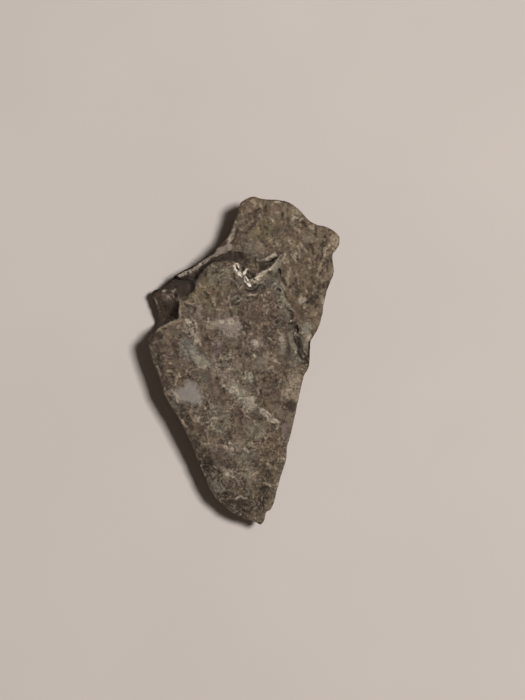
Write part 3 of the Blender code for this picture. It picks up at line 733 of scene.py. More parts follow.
# Marks that follow a line, or a round spot where one point is given: half width, points
lineMarks = {
    "umber": [  # dark brown stains
        # The first line here, along the head's outline, is painted shade where the rim falls away from the
        # light
        (0.16, stoneForm["headSide"] + stoneForm["rightSide"][:4]), (0.14, [(3.35, 10.5), (3.55, 10.6)]),
        (0.09, [(3.2, 8.0), (3.2, 7.0)]), (0.08, [(3.95, 8.3), (3.9, 7.4)]),
        (0.26, [(3.35, 6.4), (3.45, 5.4), (3.75, 4.8), (4.05, 4.2)]), (0.18, [(1.68, 4.88)]),
    ],
    "dark": [  # dark pits and lines
        # This line along the head's outline is painted shade on the falling rim
        (0.03, stoneForm["headSide"] + stoneForm["rightSide"][:4]),
        (0.08, [(-0.35, 12.6), (-0.5, 12.1), (-0.78, 11.3), (-1.0, 10.6)]),
        (0.08, [(0.8, 12.0), (0.85, 11.1), (0.5, 10.6), (0.2, 10.2)]), (0.1, [(1.36, 10.55)]),
        (0.09, [(1.92, 11.1)]), (0.12, [(-0.65, 10.4), (-0.9, 9.7), (-1.05, 9.0), (-1.3, 8.6)]),
        (0.1, [(3.1, 11.75)]), (0.14, [(5.2, 4.8), (5.7, 4.6)]),
        (0.13, [(4.12, 1.84), (4.32, 1.28), (4.52, 0.72), (4.74, 0.16)]),
        (0.1, [(3.48, 1.84), (3.56, 1.2), (3.58, 0.84)]), (0.12, [(3.6, 3.04), (4.04, 2.96), (4.3, 2.8)]),
        # The first mark here, along the crevice, is painted shade in the crevice
        (0.26, crevice[0]), (0.1, [(2.16, 4.88)]),
        (0.07, [(-3.12, 5.52), (-2.88, 5.12), (-2.64, 4.64), (-2.56, 4.32)]),
        (0.3, [(-7.5, 1.7), (-6.9, 2.0)]), (0.19, [(-5.65, 1.3), (-5.5, 1.15)]), (0.15, [(-5.25, 1.55)]),
        (0.07, [(-5.44, 1.0), (-5.3, 0.1)]), (0.07, [(1.4, -2.6), (1.8, -2.75), (2.2, -2.5)]),
        (0.13, [(-1.5, -5.62), (-1.0, -5.6)]), (0.12, [(-1.12, -5.8), (-1.1, -6.2)]),
    ],
    "straw": [  # yellowish grains
        (0.07, [(1.45, 11.35), (1.5, 10.65)]), (0.06, [(1.7, 11.6), (1.85, 10.8)]),
        (0.1, [(1.05, 10.95), (1.2, 10.3)]), (0.07, [(2.1, 10.8), (2.0, 10.3)]),
        (0.14, [(2.0, 9.7), (2.1, 9.5)]), (0.06, [(3.0, 11.1), (3.3, 11.75)]), (0.1, [(4.56, 6.0)]),
        (0.05, [(4.7, 4.55), (5.4, 4.3)]), (0.2, [(5.45, 3.8)]),
        (0.08, [(-3.7, 5.9), (-3.1, 5.9), (-3.0, 6.2)]), (0.08, [(-4.0, 4.9), (-3.8, 4.6)]),
        (0.08, [(-1.85, 0.16), (-1.5, 0.4)]), (0.18, [(-0.75, -10.45)]),
    ],
    "cream": [  # cream clasts, slivers and grains
        (0.08, [(2.1, 11.5), (2.3, 11.2)]), (0.08, [(0.56, 9.76)]), (0.07, [(2.6, 9.35)]),
        (0.06, [(3.55, 9.65), (3.7, 9.4)]), (0.07, [(3.85, 11.35), (4.0, 11.5), (4.3, 11.4)]),
        (0.09, [(2.55, 12.75), (2.9, 12.7)]), (0.1, [(5.25, 7.7), (5.3, 7.5)]),
        # The marks on this line and the next two follow the trough's lip and the ridge's crest: pale stone
        # with painted highlight on it
        (0.08, [(1.44, 8.04), (1.92, 8.04), (2.32, 8.2), (2.64, 8.44)]),
        (0.2, [(0.6, 6.35), (0.96, 6.66), (1.14, 6.88)]), (0.09, [(1.14, 6.86), (1.44, 7.06), (2.1, 7.44)]),
        (0.11, [(2.1, 7.44), (2.44, 7.62), (2.6, 7.92), (2.8, 8.28)]),
        (0.06, [(1.0, 6.36), (1.16, 6.12), (1.2, 5.96)]), (0.05, [(1.16, 6.2), (1.5, 6.3)]),
        (0.09, [(-0.66, 7.75), (-0.84, 7.5), (-0.78, 7.28), (-0.56, 7.06)]),
        (0.14, [(-0.34, 7.5), (-0.28, 7.38)]), (0.06, [(-0.02, 6.88), (0.08, 7.26), (0.3, 7.36)]),
        (0.1, [(3.66, 4.5), (3.76, 4.2)]), (0.12, [(4.1, 2.2), (4.25, 2.1)]), (0.1, [(4.84, 2.28)]),
        (0.12, [(5.08, 1.66), (5.34, 2.04)]), (0.06, [(-1.16, 5.5), (-1.2, 4.9), (-1.04, 4.3)]),
        (0.07, [(0.4, 5.24), (0.96, 5.32)]), (0.12, [(-4.56, 3.12)]),
        (0.06, [(-4.16, 3.44), (-3.68, 2.64)]), (0.07, [(-2.88, 3.44), (-2.88, 3.05)]),
        (0.12, [(-1.76, 3.12)]), (0.1, [(-1.15, 3.28)]), (0.09, [(-1.5, 2.3)]),
        (0.1, [(-4.4, 2.72), (-4.08, 2.24), (-3.84, 1.84), (-3.68, 1.52)]),
        (0.06, [(-4.4, 2.72), (-3.9, 2.7)]), (0.06, [(-3.56, 1.6), (-3.5, 1.2)]),
        (0.06, [(-3.5, -0.4), (-3.2, -0.56), (-3.0, -0.4)]), (0.08, [(0.76, 0.5), (0.9, 0.32)]),
        (0.07, [(2.3, 0.2), (2.5, 0.0), (2.85, -0.15)]),
        (0.08, [(-1.65, -2.0), (-1.2, -2.24), (-1.05, -2.5)]), (0.09, [(-0.85, -2.4), (-0.6, -2.65)]),
        (0.06, [(-0.5, -1.6)]), (0.15, [(0.7, -2.95), (0.7, -3.25)]),
        (0.05, [(1.6, -4.88), (1.95, -4.72), (2.3, -4.85)]), (0.09, [(2.8, -5.1), (2.65, -5.4)]),
        (0.08, [(-5.4, -3.0), (-5.3, -3.3)]), (0.11, [(-3.9, -4.4), (-3.65, -4.55)]),
        (0.07, [(-3.1, -5.0), (-2.7, -4.8), (-2.4, -4.6), (-2.1, -4.65)]),
        (0.07, [(-1.25, -6.6), (-1.15, -6.65)]), (0.05, [(-1.5, -6.8), (-1.3, -6.95), (-1.35, -7.1)]),
        (0.08, [(-1.05, -7.05), (-0.9, -7.2)]), (0.1, [(0.1, -7.05), (0.3, -7.2)]),
        (0.07, [(-0.6, -11.04), (-0.28, -10.84), (0.0, -11.04), (0.24, -10.96)]), (0.08, [(-3.5, 7.82)]),
        (0.06, [(-5.76, 5.3), (-5.64, 5.1)]), (0.08, [(-6.5, 5.62), (-6.35, 5.68)]),
        (0.07, [(-6.15, 5.2), (-6.0, 5.1)]), (0.07, [(-5.85, 5.65), (-5.7, 5.5)]),
        (0.05, [(-5.9, 4.95), (-5.75, 4.75)]),
    ],
    "tan": [  # pale brown clasts and grains, and one painted highlight line
        (0.13, [(0.7, 12.85), (1.0, 12.6)]), (0.1, [(0.25, 12.3), (0.4, 11.95)]),
        (0.06, [(-0.3, 11.1), (0.3, 11.4)]), (0.06, [(-0.1, 10.6), (0.6, 11.2)]),
        (0.13, [(2.5, 9.5), (2.85, 9.25)]), (0.09, [(4.5, 10.35)]), (0.1, [(4.5, 9.3)]),
        (0.08, [(3.9, 11.3), (3.9, 10.7)]), (0.05, [(5.58, 10.7), (5.6, 10.3)]),
        (0.2, [(7.0, 10.0), (7.1, 9.5)]), (0.09, [(3.5, 8.4), (3.5, 7.6)]),
        (0.11, [(3.65, 7.5), (3.6, 6.7)]), (0.12, [(4.3, 6.95), (4.36, 6.25)]), (0.12, [(3.68, 5.68)]),
        (0.08, [(5.0, 5.68), (5.06, 5.5)]), (0.06, [(5.6, 6.6), (6.0, 7.0), (6.1, 7.2)]),
        (0.07, [(6.25, 5.15), (6.2, 4.75)]), (0.1, [(1.05, 7.85), (1.08, 7.65)]),
        (0.1, [(2.72, 2.4), (2.8, 2.16)]), (0.2, [(-5.9, 3.0), (-5.1, 3.3)]),
        (0.13, [(-6.9, 2.5), (-6.2, 2.85)]), (0.07, [(-5.04, 1.7), (-5.0, 1.2), (-5.12, 0.4)]),
        (0.05, [(-4.5, -0.95), (-4.0, -0.65), (-3.5, -0.62)]), (0.2, [(1.75, -0.15)]),
        (0.08, [(-6.9, -0.4), (-6.7, -1.1)]), (0.08, [(-1.84, -4.5), (-1.44, -4.35), (-1.1, -4.4)]),
        (0.1, [(-4.9, -4.7), (-4.66, -5.2)]), (0.17, [(-0.35, -6.55), (-0.3, -7.1)]),
        (0.17, [(0.4, -6.6), (0.9, -6.8)]), (0.07, [(0.3, -9.35), (0.7, -9.1), (1.1, -8.9)]),
        (0.06, [(0.8, -11.3), (0.85, -11.5)]), (0.07, [(-0.3, -12.4)]), (0.05, [(1.5, -9.8), (1.95, -9.8)]),
        (0.08, [(-3.8, -7.2)]), (0.07, [(-1.85, -11.35)]),
        # This line along the break edge is a painted highlight on its lit rim
        (0.09, [(-5.12, 5.0), (-5.12, 4.2), (-5.08, 3.5)]),
    ],
    "mauve": [  # greyish red grains
        (0.14, [(-0.9, 11.0), (-0.75, 10.5)]), (0.16, [(-3.84, 6.35), (-3.8, 6.15)]),
        (0.14, [(-4.3, 3.7), (-3.8, 3.5)]), (0.1, [(-7.25, 1.4), (-7.05, 1.5)]), (0.09, [(-7.45, 1.05)]),
        (0.3, [(-2.2, 1.4), (-2.1, 0.8)]), (0.16, [(-2.4, -9.65)]), (0.1, [(-6.7, 5.4), (-5.9, 5.35)]),
        (0.09, [(-4.7, 5.5), (-4.4, 5.6)]), (0.13, [(-4.5, 6.05), (-4.3, 6.05)]),
    ],
    "black": [  # cracks and holes, and painted shade lines along the ledge's rim and foot and along the break edge
        (0.05, [(1.76, 7.88), (2.2, 7.98), (2.6, 8.28)]), (0.06, [(0.9, 7.85), (0.96, 7.58)]),
        (0.05, [(4.16, 1.7), (4.5, 0.8), (4.78, 0.2)]), (0.05, [(4.06, 2.62), (4.3, 2.5), (4.5, 2.34)]),
        (0.09, [(3.72, 4.06)]), (0.07, [(2.72, 7.3), (2.8, 7.06)]), (0.1, [(5.25, 1.5), (5.22, 0.3)]),
        (0.1, [(-0.62, 7.5), (-0.5, 7.2)]), (0.07, [(-0.2, 7.5), (-0.1, 7.3)]),
        (0.06, [(0.35, 7.2), (0.3, 6.95)]), (0.06, [(0.2, 6.9), (0.36, 6.6), (0.46, 6.42)]),
        (0.09, [(0.0, 7.5), (-0.02, 7.3)]), (0.08, [(0.1, 5.74), (0.5, 5.54), (0.96, 5.68), (1.2, 6.0)]),
        (0.08, [(0.64, 6.8), (0.8, 6.5)]), (0.08, [(-3.04, 3.02)]), (0.06, [(-1.96, -0.1), (-1.86, -0.1)]),
        # Below, the long lines along the ledge's outer rim and inner foot and the two lines along the break
        # edge are painted shade at rims and at the foot of steps
        (0.09, [(-7.5, 5.35), (-7.3, 5.62), (-6.7, 5.88), (-6.1, 6.4), (-5.4, 6.98), (-4.5, 7.44),
                (-3.8, 7.76), (-3.1, 8.32), (-2.3, 8.9)]),
        (0.07, [(-4.55, 7.08), (-4.45, 7.12)]),
        (0.06, [(-5.3, 6.66), (-4.64, 6.78), (-4.0, 6.72), (-3.68, 6.96), (-3.28, 7.36)]),
        (0.08, [(-3.12, 7.44), (-2.72, 7.76), (-2.4, 8.1)]), (0.14, [(-5.45, 5.3)]),
        (0.06, [(-5.36, 4.7), (-5.4, 3.75)]), (0.06, [(-5.4, 3.48), (-6.2, 3.1), (-6.96, 2.66)]),
    ],
    "mint": [  # grey-green patches and threads
        (0.2, [(2.4, 7.3), (2.52, 6.7), (2.46, 6.1)]), (0.08, [(2.56, 6.08), (2.8, 5.84), (3.0, 5.7)]),
        (0.08, [(2.5, 5.8), (2.5, 5.6), (2.7, 5.46), (2.9, 5.56)]),
        (0.12, [(3.0, 6.12), (3.12, 5.68), (3.04, 5.2), (2.88, 4.88)]),
        (0.1, [(3.56, 3.92), (3.46, 3.4), (3.68, 3.44)]), (0.06, [(3.76, 2.4), (3.8, 1.92)]),
        (0.09, [(3.84, 1.3), (4.14, 1.3), (4.2, 0.8)]), (0.14, [(4.2, 0.36), (4.7, 0.0)]),
        (0.16, [(3.0, 2.2), (3.1, 1.4)]), (0.15, [(3.1, 1.1), (3.2, 0.66)]),
        (0.05, [(-0.96, 4.96), (-0.6, 5.2), (-0.3, 5.1)]), (0.05, [(-0.75, 4.7), (-0.3, 4.9)]),
        (0.05, [(-0.5, -9.5), (-0.32, -9.84)]),
    ],
    "glint": [  # painted highlight on the raised slivers below the trough
        (0.07, [(3.76, 3.22)]),
    ],
    "slate": [  # grey stains
        (0.45, [(-0.3, 6.5), (1.2, 6.1), (2.2, 6.3)]), (0.18, [(-3.1, -0.6), (-3.1, -1.7)]),
        (0.3, [(-5.7, -3.2), (-5.2, -4.2)]), (0.3, [(-4.4, -3.4), (-3.8, -3.8)]),
        (0.3, [(0.3, -10.2), (0.6, -10.6)]),
    ],
    "rust": [  # one rusty spot
        (0.18, [(-2.56, 5.52), (-2.4, 5.4)]),
    ],
    "milky": [  # the milky clast
        (0.1, [(-4.2, 1.1), (-3.85, 0.7)]),
    ],
    "olive": [  # olive stains
        (0.3, [(1.5, -3.3), (2.0, -3.3)]), (0.2, [(-4.3, -5.3), (-4.1, -6.0)]),
    ],
    "ledge": [  # the pale ledge
        (0.17, [(-5.2, 6.86), (-4.7, 7.1), (-4.35, 7.24)]),
        (0.13, [(-4.2, 7.3), (-3.8, 7.55), (-3.5, 7.8)]),
        (0.17, [(-3.2, 7.95), (-2.8, 8.35), (-2.5, 8.65)]), (0.26, [(-2.4, 8.6), (-1.8, 8.9), (-1.1, 9.1)]),
        (0.12, [(-1.25, 9.4), (-0.98, 9.9), (-0.85, 10.5)]), (0.04, [(-7.28, 5.12), (-6.96, 4.24)]),
        (0.1, [(-6.55, 5.64), (-6.4, 5.68)]), (0.08, [(-5.72, 5.6), (-5.6, 5.75)]), (0.12, [(-6.1, 5.14)]),
    ],
    "blush": [  # pale rosy clasts
        (0.12, [(-6.4, 4.95), (-6.1, 4.9)]),
    ],
}

markShape = {
    "wander": [(0.9, 51, 52, 0.08), (0.35, 53, 54, 0.05)],  # cell, two seeds, reach
    "outside": -1.0,  # depth where no mark is near
    "wallFade": 0.9,  # depth lost for each millimetre down the wall
    "crumbWallFade": 4.0,
    "lowest": 3.0,  # no further loss below this
    "leastShare": 0.05,  # height share used for lower points
}

# How each family of marks is laid, in this order: colour, strength, share of the wobble, softness, and the
# share of its strength that thins out where the stone is worn
markLooks = {
    "underFragments": {
        "rosy": ((93, 75, 63), 0.85, 1.2, 0.3, 0.2),
        "olive": ((105, 93, 67), 0.9, 1.2, 0.3, 0.3),
        "umber": ((80, 64, 47), 0.85, 1.1, 0.2, 0.3),
        "slate": ((96, 89, 80), 0.9, 0.9, 0.2, 0.3),
        "tawny": ((103, 85, 66), 0.85, 1.3, 0.35, 0.2),
        "moss": ((116, 108, 92), 0.95, 1.2, 0.22, 0.25),
        "chalk": ((133, 119, 105), 0.95, 1.2, 0.22, 0.25),
        # mostly painted shade along the edges and at the tip, with some dark stone
        "gloom": ((52, 42, 33), 0.95, 0.9, 0.35, 0.1),
    },
    "crumbs": {
        "crumbDark": ((52, 41, 31), 0.74, 0, 0, 0.3),
        "crumbStraw": ((116, 104, 84), 0.7, 0, 0, 0.3),
        "crumbPale": ((146, 132, 113), 0.62, 0, 0, 0.3),
    },
    "overAll": {
        "mauve": ((110, 95, 88), 0.9, 0.5, 0.1, 0.4),
        "tan": ((129, 114, 97), 0.92, 0.35, 0.06, 0.25),
        "dark": ((58, 47, 37), 0.85, 0.6, 0.1, 0.35),
        "haze": ((117, 108, 97), 0.85, 0.9, 0.16, 0.25),
        "mint": ((136, 129, 113), 0.92, 0.7, 0.12, 0.35),
        "straw": ((122, 108, 84), 0.85, 0.4, 0.07, 0.5),
        "rust": ((118, 90, 74), 0.7, 0.5, 0.12, 0.4),
        "blush": ((134, 120, 110), 0.85, 1.3, 0.24, 0.3),
        "blue": ((110, 104, 98), 0.8, 0.9, 0.18, 0.15),
        # painted shade in the hollow and the crevice
        "hollowShade": ((59, 49, 41), 0.92, 0.7, 0.14, 0.1),
        "milky": ((121, 113, 105), 0.97, 0.85, 0.34, 0.1),
        "ledge": ((144, 131, 119), 0.95, 0.35, 0.06, 0.4),
        "cream": ((156, 143, 127), 0.95, 0.35, 0.06, 0.3),
        # painted highlight on the ridge and its lip
        "bright": ((192, 178, 160), 0.95, 0.3, 0.07, 0.35),
        # cracks and holes, and painted shade lines at rims and steps
        "black": ((34, 26, 20), 0.95, 0.25, 0.05, 0.0),
        # painted highlight on the slivers below the trough
        "glint": ((216, 204, 188), 1.0, 0.22, 0.04, 0.0),
    },
}

# Each attribute of the mesh carries three families of marks, and one carries the zones
families = [family for looks in markLooks.values() for family in looks]
markSets = {f"marks{k // 3 + 1}": families[k:k + 3] for k in range(0, len(families), 3)}
markSets["zones"] = ["broken", "head", "wall"]


# Signed depth into each family's nearest mark, on points moved about by noise so that no edge stays smooth:
# distance to the ring, below 0 outside it, or half width - distance to the line. It lessens down the walls
def markFields(points, levels):
    spots = points[:, :2].copy()
    for cell, seedX, seedY, reach in markShape["wander"]:
        spots += reach * sideways(points, [(cell, seedX), (cell, seedY)])
    outside = np.full(len(points), markShape["outside"])
    fields = {family: outside.copy() for family in families}
    for family, rings in corneredMarks.items():
        for ring in rings:
            away = distanceToLine(spots, ring + ring[:1])
            fields[family] = np.maximum(fields[family], np.where(isInside(spots, ring), away, -away))
    for family, marks in lineMarks.items():
        for width, line in marks:
            away = distanceToLine(spots, line) if len(line) > 1 else np.hypot(*(spots - line[0]).T)
            fields[family] = np.maximum(fields[family], width - away)
    fields.update(crumbFields(points, crumbs))
    down = np.clip(levels - points[:, 2], 0, markShape["lowest"])
    for family in fields:
        fields[family] -= markShape["crumbWallFade" if family in crumbs["counts"] else "wallFade"] * down
    return fields


# Mesh from whole arrays: quads first, then one many-cornered face
def meshFrom(name, points, quads, lastFace):
    corners = np.concatenate([quads.ravel(), lastFace])
    starts = np.concatenate([np.arange(len(quads)) * 4, [quads.size]])
    mesh = bpy.data.meshes.new(name)
    mesh.vertices.add(len(points))
    mesh.vertices.foreach_set("co", (points * mm).ravel())
    mesh.loops.add(len(corners))
    mesh.loops.foreach_set("vertex_index", corners)
    mesh.polygons.add(len(starts))
    mesh.polygons.foreach_set("loop_start", starts)
    mesh.update(calc_edges=True)
    return mesh


# Links a socket, or sets a plain value
def setInputs(tree, node, inputs):
    for name, value in inputs.items():
        if isinstance(value, bpy.types.NodeSocket):
            tree.links.new(value, node.inputs[name])
        else:
            node.inputs[name].default_value = value


# One node with its settings and its inputs
def addNode(tree, kind, inputs=None, **settings):
    node = tree.nodes.new(kind)
    for name, value in settings.items():
        setattr(node, name, value)
    setInputs(tree, node, inputs or {})
    return node


# Result of a and b under one operation
def mathNode(tree, operation, a, b=0.0):
    return addNode(tree, "ShaderNodeMath", {0: a, 1: b}, operation=operation).outputs[0]


# Number a and number b mixed by a share: a + share * (b - a)
def mixNumbers(tree, share, a, b):
    return addNode(tree, "ShaderNodeMix", {0: share, 2: a, 3: b}, data_type="FLOAT").outputs[0]


# Colour a and colour b mixed by a share
def mixColours(tree, share, a, b, blend="MIX"):
    node = addNode(tree, "ShaderNodeMix", {0: share, 6: a, 7: b}, data_type="RGBA", blend_type=blend)
    return node.outputs[2]


# Smooth step of a value from low to high
def stepNode(tree, value, low, high, outLow=0.0, outHigh=1.0):
    inputs = {"Value": value, "From Min": low, "From Max": high, "To Min": outLow, "To Max": outHigh}
    return addNode(tree, "ShaderNodeMapRange", inputs, interpolation_type="SMOOTHSTEP").outputs[0]


# Fractal noise, about 0.3 to 0.7
def noiseNode(tree, place, scale, detail=3.0, roughness=0.55, distortion=0.0):
    inputs = {"Vector": place, "Scale": scale, "Detail": detail}
    inputs.update({"Roughness": roughness, "Distortion": distortion})
    return addNode(tree, "ShaderNodeTexNoise", inputs).outputs["Fac"]


# Soft patches: smooth step of noise, with the noise settings and the step given as one pair
def patchNode(tree, place, patch):
    noise, step = patch
    return stepNode(tree, noiseNode(tree, place, *noise), *step)


# An empty node group with its sockets: the group, what it is given and what it makes
def newGroup(name, inputs, outputs):
    group = bpy.data.node_groups.new(name, "ShaderNodeTree")
    for label, kind, value in inputs:
        socket = group.interface.new_socket(label, in_out="INPUT", socket_type=kind)
        if value is not None:
            socket.default_value = value
    for label in outputs:
        group.interface.new_socket(label, in_out="OUTPUT", socket_type=floatKind)
    return group, group.nodes.new("NodeGroupInput").outputs, group.nodes.new("NodeGroupOutput").inputs


# A node group placed in a material with values of its own
def useGroup(tree, group, inputs):
    node = addNode(tree, "ShaderNodeGroup")
    node.node_tree = group
    setInputs(tree, node, inputs)
    return node.outputs


# The same place moved along, so that a pattern used twice doesn't repeat itself
def movedPlace(tree, place, shift):
    inputs = {0: place, 1: (shift, -shift, 0.5 * shift)}
    return addNode(tree, "ShaderNodeVectorMath", inputs, operation="ADD").outputs[0]


floatKind, vectorKind = "NodeSocketFloat", "NodeSocketVector"


groupValues = {
    "bend": 0.35,  # how far noise pushes the fragments' edges about
    "bendScale": 3.0, "bendDetail": 2.0,
    "bodyFrom": 0.02,  # distance from a cell's edge where its body begins
    "edgeWidth": 0.05,  # millimetres, at any scale
    "curlNoise": (3.0, 0.6, 0.8),  # detail, roughness, distortion
    "curlPatches": (0.9, 2.0),  # scale, detail
    "curlStart": 0.62, "curlCoverShare": 0.3, "curlFade": 0.12,
    "fineNoise": (4.0, 0.65),  # detail, roughness
    "coarseNoise": (3.0, 0.6, 0.4),  # detail, roughness, distortion
}


# Rock fragments: random tone and hue for each Voronoi cell, a mask that is 1 inside the cells that show, and
# a mask of the cells' edges
def fragmentsGroup():
    v = groupValues
    inputs = [("Place", vectorKind, None), ("Scale", floatKind, 2.0), ("Share", floatKind, 0.4)]
    inputs += [("Soft", floatKind, 0.1)]
    group, given, made = newGroup("rock fragments", inputs, ("Tone", "Hue", "Mask", "Edge"))
    noise = {"Vector": given["Place"], "Scale": v["bendScale"], "Detail": v["bendDetail"]}
    wobble = addNode(group, "ShaderNodeTexNoise", noise).outputs["Color"]
    bent = addNode(group, "ShaderNodeVectorMath", {0: wobble, 1: (v["bend"],) * 3}, operation="MULTIPLY")
    place = addNode(group, "ShaderNodeVectorMath", {0: given["Place"], 1: bent.outputs[0]}, operation="ADD")
    inputs = {"Vector": place.outputs[0], "Scale": given["Scale"]}
    cells = addNode(group, "ShaderNodeTexVoronoi", inputs)
    fromEdge = addNode(group, "ShaderNodeTexVoronoi", inputs, feature="DISTANCE_TO_EDGE").outputs["Distance"]
    parts = addNode(group, "ShaderNodeSeparateColor", {"Color": cells.outputs["Color"]}).outputs
    shows = mathNode(group, "LESS_THAN", parts[1], given["Share"])
    body = stepNode(group, fromEdge, v["bodyFrom"], given["Soft"])
    line = mathNode(group, "MULTIPLY", given["Scale"], v["edgeWidth"])
    group.links.new(stepNode(group, fromEdge, line, 0.0), made["Edge"])
    group.links.new(parts[0], made["Tone"])
    group.links.new(parts[2], made["Hue"])
    group.links.new(mathNode(group, "MULTIPLY", shows, body), made["Mask"])
    return group


# Thin curling lines: 1 where distorted noise is close to its middle value, broken up by a second noise
def curlsGroup():
    v = groupValues
    inputs = [("Place", vectorKind, None), ("Scale", floatKind, 1.5), ("Width", floatKind, 0.03)]
    inputs += [("Cover", floatKind, 0.5)]
    group, given, made = newGroup("curling lines", inputs, ("Mask",))
    field = noiseNode(group, given["Place"], given["Scale"], *v["curlNoise"])
    away = mathNode(group, "ABSOLUTE", mathNode(group, "SUBTRACT", field, 0.5))
    line = stepNode(group, away, given["Width"], 0.0)
    patches = noiseNode(group, given["Place"], *v["curlPatches"])
    start = mathNode(group, "MULTIPLY", given["Cover"], v["curlCoverShare"])
    start = mathNode(group, "SUBTRACT", v["curlStart"], start)
    cover = stepNode(group, patches, start, mathNode(group, "ADD", start, v["curlFade"]))
    group.links.new(mathNode(group, "MULTIPLY", line, cover), made["Mask"])
    return group


# Grain height: fine noise + share * (coarser noise - fine noise)
def grainGroup():
    v = groupValues
    inputs = [("Place", vectorKind, None), ("Fine", floatKind, 9.0), ("Coarse", floatKind, 3.2)]
    inputs += [("Coarse Share", floatKind, 0.5)]
    group, given, made = newGroup("stone grain", inputs, ("Height",))
    fine = noiseNode(group, given["Place"], given["Fine"], *v["fineNoise"])
    coarse = noiseNode(group, given["Place"], given["Coarse"], *v["coarseNoise"])
    group.links.new(mixNumbers(group, given["Coarse Share"], fine, coarse), made["Height"])
    return group


# A material on Object coordinates in millimetres: the material, its tree, its shader and the place
def newMaterial(name):
    material = bpy.data.materials.new(name)
    material.use_nodes = True
    tree = material.node_tree
    shader = tree.nodes["Principled BSDF"]
    coords = addNode(tree, "ShaderNodeTexCoord")
    inputs = {"Vector": coords.outputs["Object"], "Scale": (1 / mm, 1 / mm, 1 / mm)}
    place = addNode(tree, "ShaderNodeMapping", inputs)
    return material, tree, shader, place.outputs[0]


# The colours of a dictionary as linear light
def tonesOf(values):
    return {name: linear(tone, values["gain"]) for name, tone in values["colours"].items()}


# Feeds the shader: the colour, bump from a height, and roughness from dull to smooth over a mask
def feedShader(tree, shader, base, height, mask, values):
    inputs = {"Height": height, "Distance": values["bump"], "Strength": 1.0}
    bump = addNode(tree, "ShaderNodeBump", inputs)
    dull, smooth = values["roughness"]
    rough = addNode(tree, "ShaderNodeMapRange", {"Value": mask, "To Min": dull, "To Max": smooth})
    tree.links.new(base, shader.inputs["Base Color"])
    tree.links.new(rough.outputs[0], shader.inputs["Roughness"])
    tree.links.new(bump.outputs[0], shader.inputs["Normal"])


weathered = {
    "gain": 1.2,  # how much brighter a colour is laid than it shows, before light and wear
    "colours": {
        "brown": (92, 75, 63), "grey": (108, 96, 79), "headBrown": (103, 85, 68), "headPale": (115, 98, 80),
        "fragmentDark": (66, 52, 42), "fragmentPale": (129, 114, 96), "fragmentRosy": (99, 80, 70),
        "fragmentGreen": (100, 94, 79), "curlPale": (138, 125, 109), "curlDark": (48, 38, 29),
        "broken": (72, 58, 48), "wall": (92, 81, 70), "wallDark": (84, 68, 57),
    },
    # Noise (scale, detail, roughness, distortion), then its smooth step (from, to, lowest, highest)
    "patches": {
        "worn": ((4.0, 4.0, 0.7), (0.36, 0.54, 0.45, 1.0)),
        "grey": ((0.5, 5.0, 0.66, 0.6), (0.4, 0.6)),
        "headPale": ((1.1, 6.0, 0.72, 0.5), (0.42, 0.64)),
        "cracked": ((0.8, 3.0), (0.42, 0.58)),
        "wall": ((1.5, 5.0, 0.7), (0.4, 0.62)),
        "broken": ((2.6, 5.0, 0.7), (0.56, 0.72)),
        "calm": ((0.62, 3.0, 0.6), (0.45, 0.57, 0.0, 0.8)),
    },
    # How far the place is moved, cells per millimetre, share that shows, softness of the edge, strength
    "fragments": {
        "big": (0.0, 0.95, 0.55, 0.1, 0.5),
        "middle": (2.1, 1.9, 0.45, 0.1, 0.42),
        "small": (6.2, 3.8, 0.42, 0.12, 0.36),
        "tiny": (4.3, 6.5, 0.42, 0.3, 0.45),
    },
    "toneSpread": (0.1, 0.9), "hueSpread": (0.3, 0.7), "hueShare": 0.45,
    # How far the place is moved, scale, width, strength, colour
    "curls": [
        (0.0, 0.9, 0.022, 0.25, "curlPale"), (3.1, 1.9, 0.035, 0.36, "curlPale"),
        (7.3, 1.0, 0.02, 0.32, "curlDark"), (5.7, 2.1, 0.035, 0.4, "curlDark"),
    ],
    "curlCover": 0.75,
    "crackStrength": 0.42,
    "wallCover": 0.45, "brokenCover": 0.9,
    "markNoise": (2.4, 6.0, 0.74, 0.4),
    "markWobble": 1.04,  # millimetres for the whole spread of the noise
    "grain": {"Fine": 5.6, "Coarse": 2.4, "Coarse Share": 0.25},
    "grainShade": (0.38, 0.62, 0.3, 1.28),
    "cellShade": {"small": 0.108, "tiny": 0.27},
    # painted shade in dents and painted light on bumps: smooth step of the relief height (from, to, lowest,
    # highest)
    "reliefShade": (-0.1, 0.06, 0.62, 1.12),
    "calmShade": 0.98,
    "headCalm": 0.5, "blushCalm": 0.4, "paleCalm": 0.85, "paleFlat": 0.9,
    "cellBump": {"middle": 0.7, "small": 0.5},
    "roughness": (0.88, 0.62),
    "gloss": 0.35,
    "bump": 0.00006,  # metres
}

unshaded = ("black", "glint")  # laid after the fine shading: dark cracks and painted shade lines, and the painted highlight


# Three values of a marks attribute
def readThree(tree, name):
    read = addNode(tree, "ShaderNodeAttribute", attribute_name=name)
    return addNode(tree, "ShaderNodeSeparateXYZ", {"Vector": read.outputs["Vector"]}).outputs


# Lays one colour after another over a base: each entry is (mask, strength, colour)
def layOver(tree, base, layers):
    for mask, strength, tone in layers:
        base = mixColours(tree, mathNode(tree, "MULTIPLY", mask, strength), base, tone)
    return base


